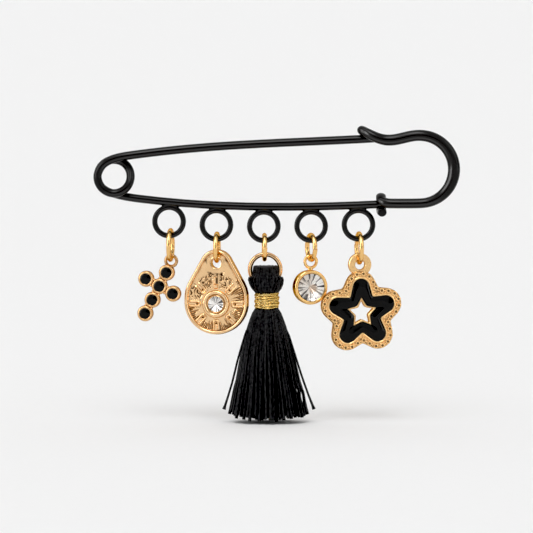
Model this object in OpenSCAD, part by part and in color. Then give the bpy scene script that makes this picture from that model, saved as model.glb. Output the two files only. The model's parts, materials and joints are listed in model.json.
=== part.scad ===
// Charm brooch: a kilt pin in black coated steel with five loops under its bar, and a charm on a jump ring in
// each loop. +Z is up, the front faces -Y, and the origin is the middle of the needle.

/* [Pin wire] */
// Diameter of the needle and bar wire
wire_d = 1.8; // [1.6:0.05:1.8]
// Distance between the front and back turns of the coil, centre to centre
layer_step = 1.9; // [1.9:0.05:2.1]
// Mean radius of the spring coil
coil_r = 3.62; // [3.5:0.02:3.7]
// Distance of the coil's centre to the left of the origin
coil_left = 29.5; // [29:0.1:30]
// Depth of the coil's centre below the origin
coil_drop = 7.0; // [6.8:0.1:7.2]

/* [Head] */
// Diameter of the head wire along the straight
head_d = 2.1; // [2.0:0.05:2.2]
// In-plane width of the head wire at the outside of the bend, where it is pressed wider
head_wide = 2.66; // [2.4:0.02:2.7]
// Mean radius of the big bend
bend_r = 7.42; // [7.3:0.02:7.5]
// Distance of the bend's centre to the right of the origin
bend_right = 36.9; // [36.5:0.1:37.5]
// Mean radius of the turn that the head wire takes round the bar
wrap_r = 1.73; // [1.72:0.01:1.78]
// Radial thickness of the flattened wire in that turn
wrap_t = 1.5; // [1.3:0.05:1.5]

/* [Loops] */
// Distance between neighbouring loops
loop_pitch = 10.3; // [10.2:0.05:10.4]
// Mean radius of a loop
loop_r = 3.1; // [3.0:0.05:3.2]
// Wire diameter of a loop
loop_d = 1.2; // [1.1:0.05:1.2]
// How deep a loop is sunk into the bar where it is soldered
loop_sink = 0.34; // [0.2:0.02:0.4]

/* [Jump rings] */
// Wire diameter of a jump ring
ring_d = 1.0; // [0.9:0.05:1.0]
// Gap between a piece and what it hangs on
hang_gap = 0.07; // [0.05:0.01:0.1]
// Width of the cut where a jump ring's ends meet, in degrees
ring_cut = 1.2; // [0.8:0.1:2]

/* [Cross charm] */
// Distance between neighbouring cups
cup_pitch = 3.38; // [3.3:0.02:3.4]
// Outer diameter of a cup
cup_d = 3.5; // [3.45:0.01:3.55]
// Diameter of the enamel in a cup
cup_enamel_d = 2.4; // [2.2:0.05:2.5]
// Thickness of the cross
cross_t = 1.6; // [1.4:0.1:1.8]
// Lean of the cross as it hangs, in degrees
cross_lean = 28; // [24:1:30]

/* [Teardrop charm] */
// Radius of the plate's round end
drop_r = 7.03; // [6.9:0.01:7.05]
// Thickness of the plate at its rim
drop_t = 2.4; // [2.2:0.1:2.6]
// Width of the raised rim
drop_rim = 0.85; // [0.7:0.05:0.95]
// Depth of the field behind the rim
drop_field = 0.45; // [0.3:0.05:0.5]
// Diameter of the round stone
drop_stone_d = 3.5; // [3.3:0.05:3.6]

/* [Tassel] */
// Outer diameter of the tassel's ring
tassel_ring_d = 7.6; // [7.5:0.05:7.7]
// Number of locks round the skirt
locks = 16; // [12:1:18]
// Depth of the grooves between the locks, as a share of the radius
groove = 0.2; // [0.1:0.02:0.24]
// Outer diameter of the gold band
band_d = 5.7; // [5.5:0.05:5.8]
// Number of turns of gold thread in the band
band_turns = 9; // [8:1:10]

/* [Crystal charm] */
// Outer diameter of the bezel at its front
bezel_d = 7.55; // [7.4:0.05:7.6]
// Depth of the bezel from front to back
bezel_t = 2.7; // [2.5:0.1:2.8]
// Lean of the crystal charm as it hangs, in degrees
crystal_lean = 2.5; // [2:0.5:5]
// Diameter of the crystal
crystal_d = 6.2; // [6:0.05:6.3]

/* [Star charm] */
// Thickness of the star
star_t = 1.9; // [1.7:0.1:2]
// Depth of the bed that holds the enamel
star_bed = 0.6; // [0.4:0.05:0.7]
// Lean of the star charm as it hangs, in degrees
star_lean = 2; // [1.5:0.5:4]
// Number of grains along the border
grains = 35; // [25:5:40]

/* [Hidden] */
$fn = 48;

// Colours of the black coating, the three golds, the stones and the thread
coat = [0.05, 0.05, 0.05];
peach_gold = [0.86, 0.70, 0.50];
ring_gold = [0.93, 0.74, 0.42];
matte_gold = [0.80, 0.61, 0.37];
clear_stone = [0.90, 0.90, 0.93];
black_enamel = [0.06, 0.06, 0.06];
black_thread = [0.04, 0.04, 0.04];

// General helpers for paths and outlines
function unit(v) = v / norm(v);
function mix(a, b, t) = a + (b - a) * t;
function clamp(v, low, high) = min(max(v, low), high);
function smooth(t) = let (s = clamp(t, 0, 1)) s * s * (3 - 2 * s);
function bezier(a, b, c, d, t) =
    pow(1 - t, 3) * a + 3 * pow(1 - t, 2) * t * b + 3 * (1 - t) * t * t * c + pow(t, 3) * d;
function arc(centre, r, from, to, steps) =
    [for (i = [0:steps]) let (a = mix(from, to, i / steps)) centre + r * [cos(a), sin(a)]];
function across(v, along) = unit(v - (v * along) * along);
// A repeatable number from 0 to 1 for the given whole number
function scatter(i) = let (v = sin(i * 127.1 + 31.7) * 437.58) v - floor(v);

// A station of a swept wire is its centre, a direction to the side, and its radii along that direction and
// across it
function station(centre, side, r_side, r_other) = [centre, side, r_side, r_other];
front = [0, -1, 0];
wire_sides = 12;

module sweep(stations) {
    last = len(stations) - 1;
    shell = [
        for (i = [0:last])
            let (
                along = unit(stations[min(i + 1, last)][0] - stations[max(i - 1, 0)][0]),
                side = across(stations[i][1], along),
                other = cross(along, side)
            )
            for (k = [0:wire_sides - 1])
                let (a = 360 * k / wire_sides)
                stations[i][0] + stations[i][2] * cos(a) * side + stations[i][3] * sin(a) * other
    ];
    walls = [
        for (i = [0:last - 1], k = [0:wire_sides - 1])
            let (a = i * wire_sides + k, b = i * wire_sides + (k + 1) % wire_sides)
            each [[a, a + wire_sides, b + wire_sides], [a, b + wire_sides, b]]
    ];
    first_cap = [for (k = [0:wire_sides - 1]) k];
    last_cap = [for (k = [wire_sides - 1:-1:0]) last * wire_sides + k];
    polyhedron(shell, concat([first_cap], walls, [last_cap]));
}

// A dome on the end of a wire of radius r, from its centre outwards
function dome(centre, out, side, r, angles) =
    [for (a = angles) station(centre + out * r * sin(a), side, r * cos(a), r * cos(a))];

module torus(mean_r, wire_r) {
    rotate_extrude() translate([mean_r, 0]) circle(r = wire_r);
}

// Route of the pin wire: coil, needle and bar
wire_r = wire_d / 2;
back_y = layer_step / 2;
coil_centre = [-coil_left, 0, -coil_drop];
coil_split = 470;
split_gap = 1;
split_lead = 3;
coil_step = 15;
cross_from = 310;
cross_to = 405;
catch_x = 24;
needle_tip_x = 31;

function coil_point(a) =
    let (y = mix(-back_y, back_y, smooth((a - cross_from) / (cross_to - cross_from))))
    coil_centre + [coil_r * cos(a), y, coil_r * sin(a)];
function coil_heading(a) = [-sin(a), 0, cos(a)];

function needle_z(x) = 0.0533 * x - 0.00085 * x * x + 0.0000211 * x * x * x;
function needle_point(x) = [x, back_y * clamp(x / catch_x, -1, 1), needle_z(x)];

bar_low_x = 7;
bar_low_z = -13.67;
function bar_z(x) = let (u = x - bar_low_x) bar_low_z + 0.0015 * u * u - 0.000011 * u * u * u;
function bar_point(x) = [x, back_y, bar_z(x)];

function round_wire(points) = [for (p = points) station(p, front, wire_r, wire_r)];

// The needle leaves the coil over its top left, and the bar leaves it at the bottom
needle_leave = 160;
needle_start_x = -26;
needle_end_x = 27;
needle_steps = 11;
bar_leave = 585;
bar_start_x = -24;
bar_end_x = 32;
bar_steps = 12;
needle_slope = unit([1, 0, 0.14]);
bar_slope = unit([1, 0, -0.125]);
leave_steps = 6;
// Handle lengths of the two curves, at the coil and at the straight wire
needle_reach = [2.6, 2.8];
bar_reach = [2.0, 2.5];

function needle_turn() =
    let (
        a = coil_point(needle_leave),
        b = a - needle_reach[0] * coil_heading(needle_leave),
        d = needle_point(needle_start_x),
        c = d - needle_reach[1] * needle_slope
    )
    [for (i = [1:leave_steps]) bezier(a, b, c, d, i / leave_steps)];
function bar_turn() =
    let (
        a = coil_point(bar_leave),
        b = a + bar_reach[0] * coil_heading(bar_leave),
        d = bar_point(bar_start_x),
        c = d - bar_reach[1] * bar_slope
    )
    [for (i = [1:leave_steps]) bezier(a, b, c, d, i / leave_steps)];

// The ground point of the needle, as distance before the tip and share of the wire's radius
point_steps = [[2.6, 0.86], [1.5, 0.62], [0.6, 0.32], [0, 0.08]];

module needle() {
    first = coil_split - split_gap;
    front_turn = [for (a = [first - split_lead:-coil_step:needle_leave]) coil_point(a)];
    straight = [
        for (i = [1:needle_steps])
            needle_point(mix(needle_start_x, needle_end_x, i / needle_steps))
    ];
    point = [
        for (s = point_steps)
            station(needle_point(needle_tip_x - s[0]), front, wire_r * s[1], wire_r * s[1])
    ];
    wire = concat([coil_point(first)], front_turn, needle_turn(), straight);
    color(coat) sweep(concat(round_wire(wire), point));
}

module bar() {
    first = coil_split + split_gap;
    back_turn = [for (a = [first + split_lead:coil_step:bar_leave - 5]) coil_point(a)];
    straight = [
        for (i = [1:bar_steps])
            bar_point(mix(bar_start_x, bar_end_x, i / bar_steps))
    ];
    wire = concat([coil_point(first)], back_turn, [coil_point(bar_leave)], bar_turn(), straight);
    color(coat) {
        sweep(round_wire(wire));
        for (i = [1:5]) translate(loop_centre(i)) rotate([90, 0, 0]) torus(loop_r, loop_d / 2);
    }
}

// The loops hang under the bar, the middle one a little to the right of the origin
loop_mid_x = 3.0;
function loop_x(i) = loop_mid_x + (i - 3) * loop_pitch;
function loop_centre(i) =
    [loop_x(i), back_y, bar_z(loop_x(i)) - wire_r - loop_r - loop_d / 2 + loop_sink];

// Route of the head wire, from its cut end under the bar, round the bar, along the straight, round the
// bend, down into the dip and up over the needle to the round end of the hook
head_r = head_d / 2;
head_gap = 0.13;
head_y = back_y - wire_r - head_gap - head_r;
straight_z = -12.8;
bend_z = straight_z + bend_r;
wrap_x = 28.4;
wrap_w = 2.15;
wrap_from = 270;
wrap_to = 50;
// Shift of the turn along the bar, at its two ends
wrap_shift = [0.2, 0.05];
straight_start = [30.8, head_y, straight_z];
dip = [30.1, 0, 0.96];
dip_w = 2.4;
hook_end = [24.3, 0, 3.02];
hook_r = 1.02;
hook_heading = unit([-0.902, 0, 0.431]);
// How far the end of the hook may step back from the plane of the head
hook_back = 3;
head_steps = 7;
// Handle lengths of the curves between the turn, the straight, the bend, the dip and the hook
wrap_reach = [1.0, 1.5];
dip_reach = [2.6, 2.4];
hook_reach = [2.0, 2.2];
// The cut end under the bar, one row for each station: x from the turn, y, z, radius down, radius across
cut_rows = [
    [0.3, -0.75, -14.78, 0.85, 0.92],
    [0.28, -0.62, -14.78, 0.92, 1.0],
    [0.24, 0.15, -14.8, 0.85, 1.02]
];

function wrap_point(a, shift) =
    [wrap_x + shift, back_y - wrap_r * cos(a), bar_z(wrap_x) + wrap_r * sin(a)];
function wrap_side(a) = [0, -cos(a), sin(a)];

// The hook keeps its distance from the needle's axis as it climbs over it
function hook_y(p, r) =
    let (
        clear = wire_r + head_gap + r,
        rise = clamp(p[2] - needle_z(p[0]), 0, 0.985 * clear)
    )
    back_y - sqrt(clear * clear - rise * rise);

function wrap_stations() =
    concat(
        [
            for (row = cut_rows)
                station([wrap_x + row[0], row[1], row[2]], [0, 0, -1], row[3], row[4])
        ],
        [
            for (a = [wrap_from:-20:wrap_to])
                let (shift = mix(wrap_shift[1], wrap_shift[0], (a - wrap_to) / (wrap_from - wrap_to)))
                station(wrap_point(a, shift), wrap_side(a), wrap_t / 2, wrap_w / 2)
        ]
    );

function wrap_exit() =
    let (
        a = wrap_point(wrap_to, wrap_shift[1]),
        b = a - wrap_reach[0] * [0, sin(wrap_to), cos(wrap_to)],
        c = straight_start - [wrap_reach[1], 0, 0]
    )
    [
        for (i = [1:head_steps])
            let (t = i / head_steps)
            station(
                bezier(a, b, c, straight_start, t),
                unit(mix(wrap_side(wrap_to), front, smooth(t))),
                mix(wrap_t / 2, head_r, t),
                mix(wrap_w / 2, head_r, t)
            )
    ];

function bend_width(a) =
    a < 0 ? mix(head_d, head_wide, smooth(1 + a / 90)) : mix(head_wide, dip_w, a / 90);
function bend_stations() = [
    for (a = [-90:12:90])
        let (p = [bend_right + bend_r * cos(a), head_y, bend_z + bend_r * sin(a)])
        station(p, front, head_r, bend_width(a) / 2)
];

function dip_stations() =
    let (
        a = [bend_right, 0, bend_z + bend_r],
        b = a - [dip_reach[0], 0, 0],
        c = dip + [dip_reach[1], 0, 0]
    )
    [
        for (i = [1:head_steps])
            let (p = bezier(a, b, c, dip, i / head_steps))
            station([p[0], head_y, p[2]], front, head_r, dip_w / 2)
    ];

function hook_stations() =
    let (b = dip - [hook_reach[0], 0, 0], c = hook_end - hook_reach[1] * hook_heading)
    [
        for (i = [1:head_steps])
            let (
                t = i / head_steps,
                p = bezier(dip, b, c, hook_end, t),
                deep = mix(head_r, hook_r, t),
                y = min(hook_y(p, deep), head_y + hook_back * t)
            )
            station([p[0], y, p[2]], front, deep, mix(dip_w / 2, hook_r, t))
    ];

function hook_dome() =
    let (h = hook_stations(), end = h[len(h) - 1][0], out = unit(end - h[len(h) - 2][0]))
    dome(end, out, front, hook_r, [35, 62, 82]);

module head() {
    lower = concat(wrap_stations(), wrap_exit(), bend_stations());
    color(coat) sweep(concat(lower, dip_stations(), hook_stations(), hook_dome()));
}

// Jump rings, one row for each loop: outer diameter, turn about the vertical, shift to the right of its loop
rings = [
    [7.4, -7, 0.3],
    [6.9, -6, 0.1],
    [6.25, 2, 0.15],
    [6.4, 18, 0],
    [7.3, 9, 0.15]
];
function ring_x(i) = loop_x(i) + rings[i - 1][2];
function ring_top(i) = loop_centre(i)[2] - loop_r + loop_d / 2 + ring_d + hang_gap;
function ring_bottom(i) = ring_top(i) - rings[i - 1][0];
// How far a jump ring's inner edge climbs at a distance y in front of or behind its lowest point
function ring_climb(i, y) = let (r = rings[i - 1][0] / 2 - ring_d) r - sqrt(r * r - y * y);

module jump_ring(i) {
    size = rings[i - 1][0];
    color(ring_gold)
        translate([ring_x(i), back_y, ring_top(i) - size / 2])
        rotate([0, 0, rings[i - 1][1]])
        rotate([0, 90, 0])
        rotate([0, 0, 90 + ring_cut / 2])
        rotate_extrude(angle = 360 - ring_cut)
        translate([(size - ring_d) / 2, 0])
        circle(d = ring_d);
}

// Charms, one row for each loop: turn about the vertical, shift of the eye to the right of its jump ring
charms = [
    [-10, 0.15],
    [-12, -0.05],
    [0, 0.15],
    [19, -0.1],
    [11, 0.1]
];

// Moves a charm to its place on jump ring i. Its eye, of radius eye_r and depth eye_t, is drawn round the
// origin
module hang(i, eye_r, eye_t) {
    eye_z = ring_bottom(i) + ring_d + hang_gap + ring_climb(i, eye_t / 2) - eye_r;
    translate([ring_x(i) + charms[i - 1][1], back_y, eye_z]) rotate([0, 0, charms[i - 1][0]]) children();
}

// Turns a profile drawn with its axis up so that its top faces the front
module facing() {
    rotate([90, 0, 0]) children();
}

// Cross charm: a cup for each row, as steps across and steps down from the top cup
cups = [[0, 0], [-1, 1], [0, 1], [1, 1], [0, 2], [0, 3]];
cross_eye_r = 0.85;
cross_eye_wire = 0.35;
cross_eye = [-0.36, 2.72];
cup_bed = 0.5;
enamel_gap = 0.02;
function cup_place(k) = [cups[k][0] * cup_pitch, 0, -cups[k][1] * cup_pitch];

module cross_place() {
    hang(1, cross_eye_r, 2 * cross_eye_wire)
        rotate([0, cross_lean, 0])
        translate([-cross_eye[0], 0, -cross_eye[1]])
        children();
}

module cup() {
    r = cup_d / 2;
    h = cross_t / 2;
    bed_r = cup_enamel_d / 2 + enamel_gap;
    facing() rotate_extrude() polygon([
        [0, -h], [r - 0.3, -h], [r - 0.05, 0.25 - h], [r, h - 0.4], [r - 0.1, h - 0.12],
        [r - 0.25, h], [bed_r, h], [bed_r, h - cup_bed], [0, h - cup_bed]
    ]);
}

module cross_frame() {
    web_w = 1.5;
    web_t = 0.9;
    web_y = 0.25;
    color(peach_gold) cross_place() {
        difference() {
            union() {
                for (k = [0:5]) translate(cup_place(k)) cup();
                translate([-web_w / 2, web_y - web_t / 2, -3 * cup_pitch])
                    cube([web_w, web_t, 3 * cup_pitch]);
                translate([-cup_pitch, web_y - web_t / 2, -cup_pitch - web_w / 2])
                    cube([2 * cup_pitch, web_t, web_w]);
                translate([cross_eye[0], 0, cross_eye[1]])
                    facing()
                    torus(cross_eye_r + cross_eye_wire, cross_eye_wire);
            }
            for (k = [0:5])
                translate(cup_place(k))
                    facing()
                    translate([0, 0, cross_t / 2 - cup_bed])
                    cylinder(d = cup_enamel_d + 2 * enamel_gap, h = cross_t);
        }
    }
}

module cross_enamel(k) {
    dome_h = 0.12;
    low = cross_t / 2 - cup_bed + enamel_gap;
    edge = cross_t / 2 - 0.1;
    r = cup_enamel_d / 2;
    color(black_enamel) cross_place() translate(cup_place(k - 1)) facing() rotate_extrude() polygon([
        [0, low], [r, low], [r, edge], [0.7 * r, edge + 0.6 * dome_h], [0, edge + dome_h]
    ]);
}

// Teardrop charm: the outline is three circles joined by their tangents
drop_eye_r = 1.15;
drop_eye_t = 1.5;
drop_below_eye = 8.54;
drop_high_z = 0.9;
drop_top_r = 3.63;
drop_top_z = 7.87;
drop_lean = 29.4;
setting_z = -0.39;
setting_out_r = 2.9;
setting_in_r = 1.8;
setting_depth = 0.95;
ray_count = 8;
ray_start = 3.35;

function drop_outline(inset) =
    let (
        low = drop_r - inset,
        top = drop_top_r - inset,
        high = [0, drop_high_z],
        cap = [0, drop_top_z]
    )
    concat(
        arc([0, 0], low, 180, 360, 30),
        arc(high, low, 0, drop_lean, 5),
        arc(cap, top, drop_lean, 180 - drop_lean, 16),
        arc(high, low, 180 - drop_lean, 180, 5)
    );

module drop_place() {
    hang(2, drop_eye_r, drop_eye_t) translate([0, 0, -drop_below_eye]) children();
}

// A ray is a trough with rails along both sides and its inner end closed
module ray() {
    length = 2.0;
    width = 1.3;
    rail = 0.32;
    high = 0.3;
    translate([ray_start, -width / 2, 0]) difference() {
        cube([length, width, high + 0.2]);
        translate([rail, rail, high - 0.1]) cube([length, width - 2 * rail, 1]);
    }
}

module teardrop_plate() {
    h = drop_t / 2;
    field = h - drop_field;
    back_step = 0.2;
    front_step = 0.15;
    sink = 0.4;
    color(peach_gold) drop_place() facing() difference() {
        union() {
            translate([0, 0, back_step - h])
                linear_extrude(drop_t - back_step - front_step)
                polygon(drop_outline(0));
            translate([0, 0, -h]) linear_extrude(2 * back_step) polygon(drop_outline(back_step));
            linear_extrude(h) polygon(drop_outline(front_step));
        }
        difference() {
            translate([0, 0, field]) linear_extrude(drop_t) polygon(drop_outline(drop_rim));
            translate([0, setting_z, 0]) {
                cylinder(r1 = setting_out_r + 0.2, r2 = setting_out_r - 0.15, h = h + 0.15);
                for (k = [0:ray_count - 1])
                    rotate([0, 0, k * 360 / ray_count]) translate([0, 0, field - 0.2]) ray();
            }
        }
        translate([0, setting_z, h]) {
            translate([0, 0, -setting_depth]) cylinder(r = setting_in_r, h = drop_t);
            translate([0, 0, -sink / 2]) cylinder(r1 = setting_in_r, r2 = setting_in_r + sink, h = sink);
        }
        translate([0, drop_below_eye, -h]) {
            translate([0, 0, -h]) cylinder(r = drop_eye_r, h = 2 * drop_t);
            translate([0, 0, -0.01]) cylinder(r1 = drop_eye_r + sink, r2 = drop_eye_r, h = sink);
        }
    }
}

// A round brilliant with its table up: table, crown, girdle and pavilion down to the culet
module brilliant(d, crown, pavilion) {
    r = d / 2;
    band = 0.04 * r;
    table = [for (k = [0:7]) [0.56 * r * cos(45 * k), 0.56 * r * sin(45 * k), crown]];
    shoulder = [
        for (k = [0:7])
            let (a = 45 * k + 22.5)
            [0.79 * r * cos(a), 0.79 * r * sin(a), 0.62 * crown]
    ];
    girdle = [
        for (z = [band, -band], k = [0:15])
            [r * cos(22.5 * k), r * sin(22.5 * k), z]
    ];
    points = concat(table, shoulder, girdle, [[0, 0, -pavilion]]);
    faces = concat(
        [[for (k = [7:-1:0]) k]],
        [
            for (k = [0:7])
                let (
                    n = (k + 1) % 8,
                    g = 16 + 2 * k,
                    h = 16 + (2 * k + 1) % 16,
                    j = 16 + (2 * k + 2) % 16
                )
                each [
                    [k, n, 8 + k],
                    [k, 8 + k, g],
                    [n, j, 8 + k],
                    [g, 8 + k, h],
                    [h, 8 + k, j]
                ]
        ],
        [
            for (k = [0:15])
                let (n = (k + 1) % 16)
                each [[16 + k, 16 + n, 32 + n], [16 + k, 32 + n, 32 + k], [32 + k, 32 + n, 48]]
        ]
    );
    polyhedron(points, faces);
}

module teardrop_stone() {
    girdle_down = 0.15;
    color(clear_stone) drop_place() facing() translate([0, setting_z, drop_t / 2 - girdle_down])
        brilliant(drop_stone_d, 0.3, 0.75);
}

// Tassel: the outer form of head, neck and skirt, as height above the ring's centre, half width, half depth
// and share of the full groove
tassel_rows = [
    [1.0, 1.9, 1.4, 0],
    [0.75, 2.4, 2.0, 0],
    [0.1, 2.8, 2.6, 0],
    [-0.9, 3.35, 2.85, 0],
    [-1.8, 3.76, 2.95, 0],
    [-3.3, 3.5, 2.9, 0],
    [-4.2, 3.05, 2.7, 0],
    [-4.95, 2.3, 2.3, 0],
    [-8.65, 2.3, 2.3, 0],
    [-8.75, 2.75, 2.6, 0.15],
    [-9.6, 3.25, 2.8, 0.25],
    [-10.9, 3.8, 3.1, 0.4],
    [-13.1, 4.65, 3.6, 0.5],
    [-17.4, 6.1, 4.3, 0.7],
    [-21.8, 7.3, 4.9, 0.85],
    [-26.1, 8.3, 5.4, 1],
    [-30.3, 8.8, 5.7, 1]
];
tassel_ring_wire = 1.0;
tassel_ring_r = (tassel_ring_d - tassel_ring_wire) / 2;
tassel_eye_r = tassel_ring_d / 2 - tassel_ring_wire;
tassel_shift = 0.35;
skirt_end = -32.0;
skirt_hollow = -28.5;
lock_points = 4;
thread_gap = 0.1;
band_top = -5.0;
band_h = 3.6;

module tassel_place() {
    hang(3, tassel_eye_r, tassel_ring_wire / 2) children();
}

module tassel_ring() {
    color(ring_gold) tassel_place() facing() torus(tassel_ring_r, tassel_ring_wire / 2);
}

module tassel_thread() {
    around = locks * lock_points;
    rows = len(tassel_rows);
    // Each lock is fullest in its middle, and the grooves lie between them
    function fullness(k) = abs(cos(180 * ((k % lock_points) / lock_points)));
    function lean(z) = tassel_shift * smooth(-z / 5);
    function at(row, k, z) =
        let (
            a = 360 * k / around,
            share = 1 - groove * row[3] * (1 - fullness(k))
        )
        [lean(z) + row[1] * share * cos(a), row[2] * share * sin(a), z];
    shell = [for (row = tassel_rows, k = [0:around - 1]) at(row, k, row[0])];
    // Each lock ends at its own length, and the grooves run a little higher
    hem = [
        for (k = [0:around - 1])
            let (
                lock = floor((k + lock_points / 2) / lock_points) % locks,
                z = skirt_end - 0.9 * scatter(lock) + 0.9 * (1 - fullness(k))
            )
            at([z, 9.2, 5.9, 1], k, z)
    ];
    top = [[lean(0), 0, tassel_rows[0][0] + 0.1]];
    middle = [[lean(-20), 0, skirt_hollow]];
    points = concat(shell, hem, top, middle);
    crown = rows * around + around;
    walls = [
        for (i = [0:rows - 1], k = [0:around - 1])
            let (a = i * around + k, b = i * around + (k + 1) % around)
            each [[a, b, b + around], [a, b + around, a + around]]
    ];
    lid = [for (k = [0:around - 1]) [crown, (k + 1) % around, k]];
    base = [for (k = [0:around - 1]) [crown + 1, rows * around + k, rows * around + (k + 1) % around]];
    color(black_thread) tassel_place() difference() {
        polyhedron(points, concat(walls, lid, base));
        facing() torus(tassel_ring_r, tassel_ring_wire / 2 + thread_gap);
    }
}

module tassel_band() {
    pitch = band_h / band_turns;
    r = band_d / 2;
    neck = tassel_rows[7][1] + 0.05;
    color(ring_gold) tassel_place() translate([tassel_shift, 0, band_top - band_h]) rotate_extrude() {
        translate([neck, 0.05]) square([r - neck - 0.15, band_h - 0.1]);
        for (k = [0:band_turns - 1])
            translate([r - pitch / 2, (k + 0.5) * pitch]) circle(d = pitch);
    }
}

// Crystal charm
crystal_eye_r = 1.0;
crystal_eye_wire = 0.33;
crystal_below_eye = 5.54;

module crystal_place() {
    hang(4, crystal_eye_r, 2 * crystal_eye_wire) rotate([0, crystal_lean, 0]) children();
}

module crystal_bezel() {
    r = bezel_d / 2;
    h = bezel_t / 2;
    seat = crystal_d / 2 + 0.03;
    back_hole_r = 0.9;
    neck = [1.3, 0.7, 0.8];
    color(ring_gold) crystal_place() {
        translate([0, 0, -crystal_below_eye]) facing() rotate_extrude() polygon([
            [back_hole_r, -h], [r - 0.5, -h], [r - 0.2, 0.3 - h], [r, h - 0.6], [r - 0.05, h - 0.25],
            [r - 0.25, h - 0.03], [seat + 0.12, h], [seat - 0.25, h - 0.15], [seat - 0.25, h - 0.22],
            [seat, h - 0.5], [seat, h - 0.75], [back_hole_r, h - 2.35]
        ]);
        facing() torus(crystal_eye_r + crystal_eye_wire, crystal_eye_wire);
        translate([-neck[0] / 2, -neck[1] / 2, -crystal_eye_r - 1.2]) cube(neck);
    }
}

module crystal_stone() {
    girdle_down = 0.62;
    color(clear_stone) crystal_place() translate([0, 0, -crystal_below_eye]) facing()
        translate([0, 0, bezel_t / 2 - girdle_down])
        brilliant(crystal_d, 0.55, 1.35);
}

// Star charm: every outline is a five-pointed star with round tips, given by tip radius, notch radius and
// radius of the rounding
star_eye_r = 1.1;
star_eye_out_r = 2.5;
star_eye_t = 1.3;
star_below_eye = 10.5;
star_outer = [9.15, 6.64, 3.3];
star_grain_line = [8.4, 5.55, 2.5];
star_enamel_line = [7.37, 4.2, 1.45];
star_rim_line = [3.45, 2.05, 0.3];
star_hole_line = [2.65, 1.4, 0.12];

// One point of the star: the arc of its tip between the tangents to the notches beside it, then the notch
function star_outline(line, inset = 0) =
    let (
        tip = line[0] - inset,
        notch = line[1] - inset,
        r = max(line[2] - inset, 0.05),
        centre = tip - r,
        to_notch = notch * [cos(36), sin(36)] - [centre, 0],
        spread = atan2(to_notch[1], to_notch[0]) - acos(r / norm(to_notch)),
        steps = 8
    )
    [
        for (k = [0:4])
            let (turn = 90 + 72 * k)
            each concat(
                arc(centre * [cos(turn), sin(turn)], r, turn - spread, turn + spread, steps),
                [notch * [cos(turn + 36), sin(turn + 36)]]
            )
    ];

// Length along a closed outline up to each of its points, and the point at a given length
function step_length(o, i) = norm(o[(i + 1) % len(o)] - o[i % len(o)]);
function run_lengths(o) = [for (i = 0, s = 0; i <= len(o); s = s + step_length(o, i), i = i + 1) s];
function point_at(o, run, s) =
    let (i = max([for (k = [0:len(o) - 1]) if (run[k] <= s) k]))
    mix(o[i], o[(i + 1) % len(o)], (s - run[i]) / (run[i + 1] - run[i]));

module star_place() {
    hang(5, star_eye_r, star_eye_t)
        facing()
        rotate([0, 0, star_lean])
        translate([0, -star_below_eye, 0])
        children();
}

module star_frame() {
    h = star_t / 2;
    step = 0.15;
    grain_r = 0.36;
    grain_z = h - grain_r / 3;
    line = star_outline(star_grain_line);
    run = run_lengths(line);
    color(matte_gold) star_place() {
        difference() {
            union() {
                translate([0, 0, -h]) linear_extrude(star_t - step) polygon(star_outline(star_outer));
                linear_extrude(h) polygon(star_outline(star_outer, step));
                translate([0, star_below_eye, -star_eye_t / 2])
                    cylinder(r = star_eye_out_r, h = star_eye_t);
            }
            difference() {
                translate([0, 0, h - star_bed])
                    linear_extrude(star_t)
                    polygon(star_outline(star_enamel_line));
                linear_extrude(h) polygon(star_outline(star_rim_line));
            }
            translate([0, 0, -star_t]) linear_extrude(2 * star_t) polygon(star_outline(star_hole_line));
            translate([0, star_below_eye, -star_t]) cylinder(r = star_eye_r, h = 2 * star_t);
        }
        for (k = [0:grains - 1])
            translate(concat(point_at(line, run, run[len(line)] * (k + 0.5) / grains), [grain_z]))
                sphere(r = grain_r);
    }
}

module star_enamel() {
    low = star_t / 2 - star_bed + enamel_gap;
    color(black_enamel) star_place() difference() {
        translate([0, 0, low]) linear_extrude(star_bed) polygon(star_outline(star_enamel_line, enamel_gap));
        linear_extrude(star_t) polygon(star_outline(star_rim_line, -enamel_gap));
    }
}

needle();
bar();
head();
jump_ring(1);  // jump_ring_1
jump_ring(2);  // jump_ring_2
jump_ring(3);  // jump_ring_3
jump_ring(4);  // jump_ring_4
jump_ring(5);  // jump_ring_5
cross_frame();
cross_enamel(1);  // cross_enamel_1
cross_enamel(2);  // cross_enamel_2
cross_enamel(3);  // cross_enamel_3
cross_enamel(4);  // cross_enamel_4
cross_enamel(5);  // cross_enamel_5
cross_enamel(6);  // cross_enamel_6
teardrop_plate();
teardrop_stone();
tassel_ring();
tassel_thread();
tassel_band();
crystal_bezel();
crystal_stone();
star_frame();
star_enamel();
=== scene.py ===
"""Charm brooch: the looks of a kilt pin with five charms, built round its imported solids."""

import json
import math
import random

import bmesh
import bpy
from mathutils import Matrix, Vector, noise

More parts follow.
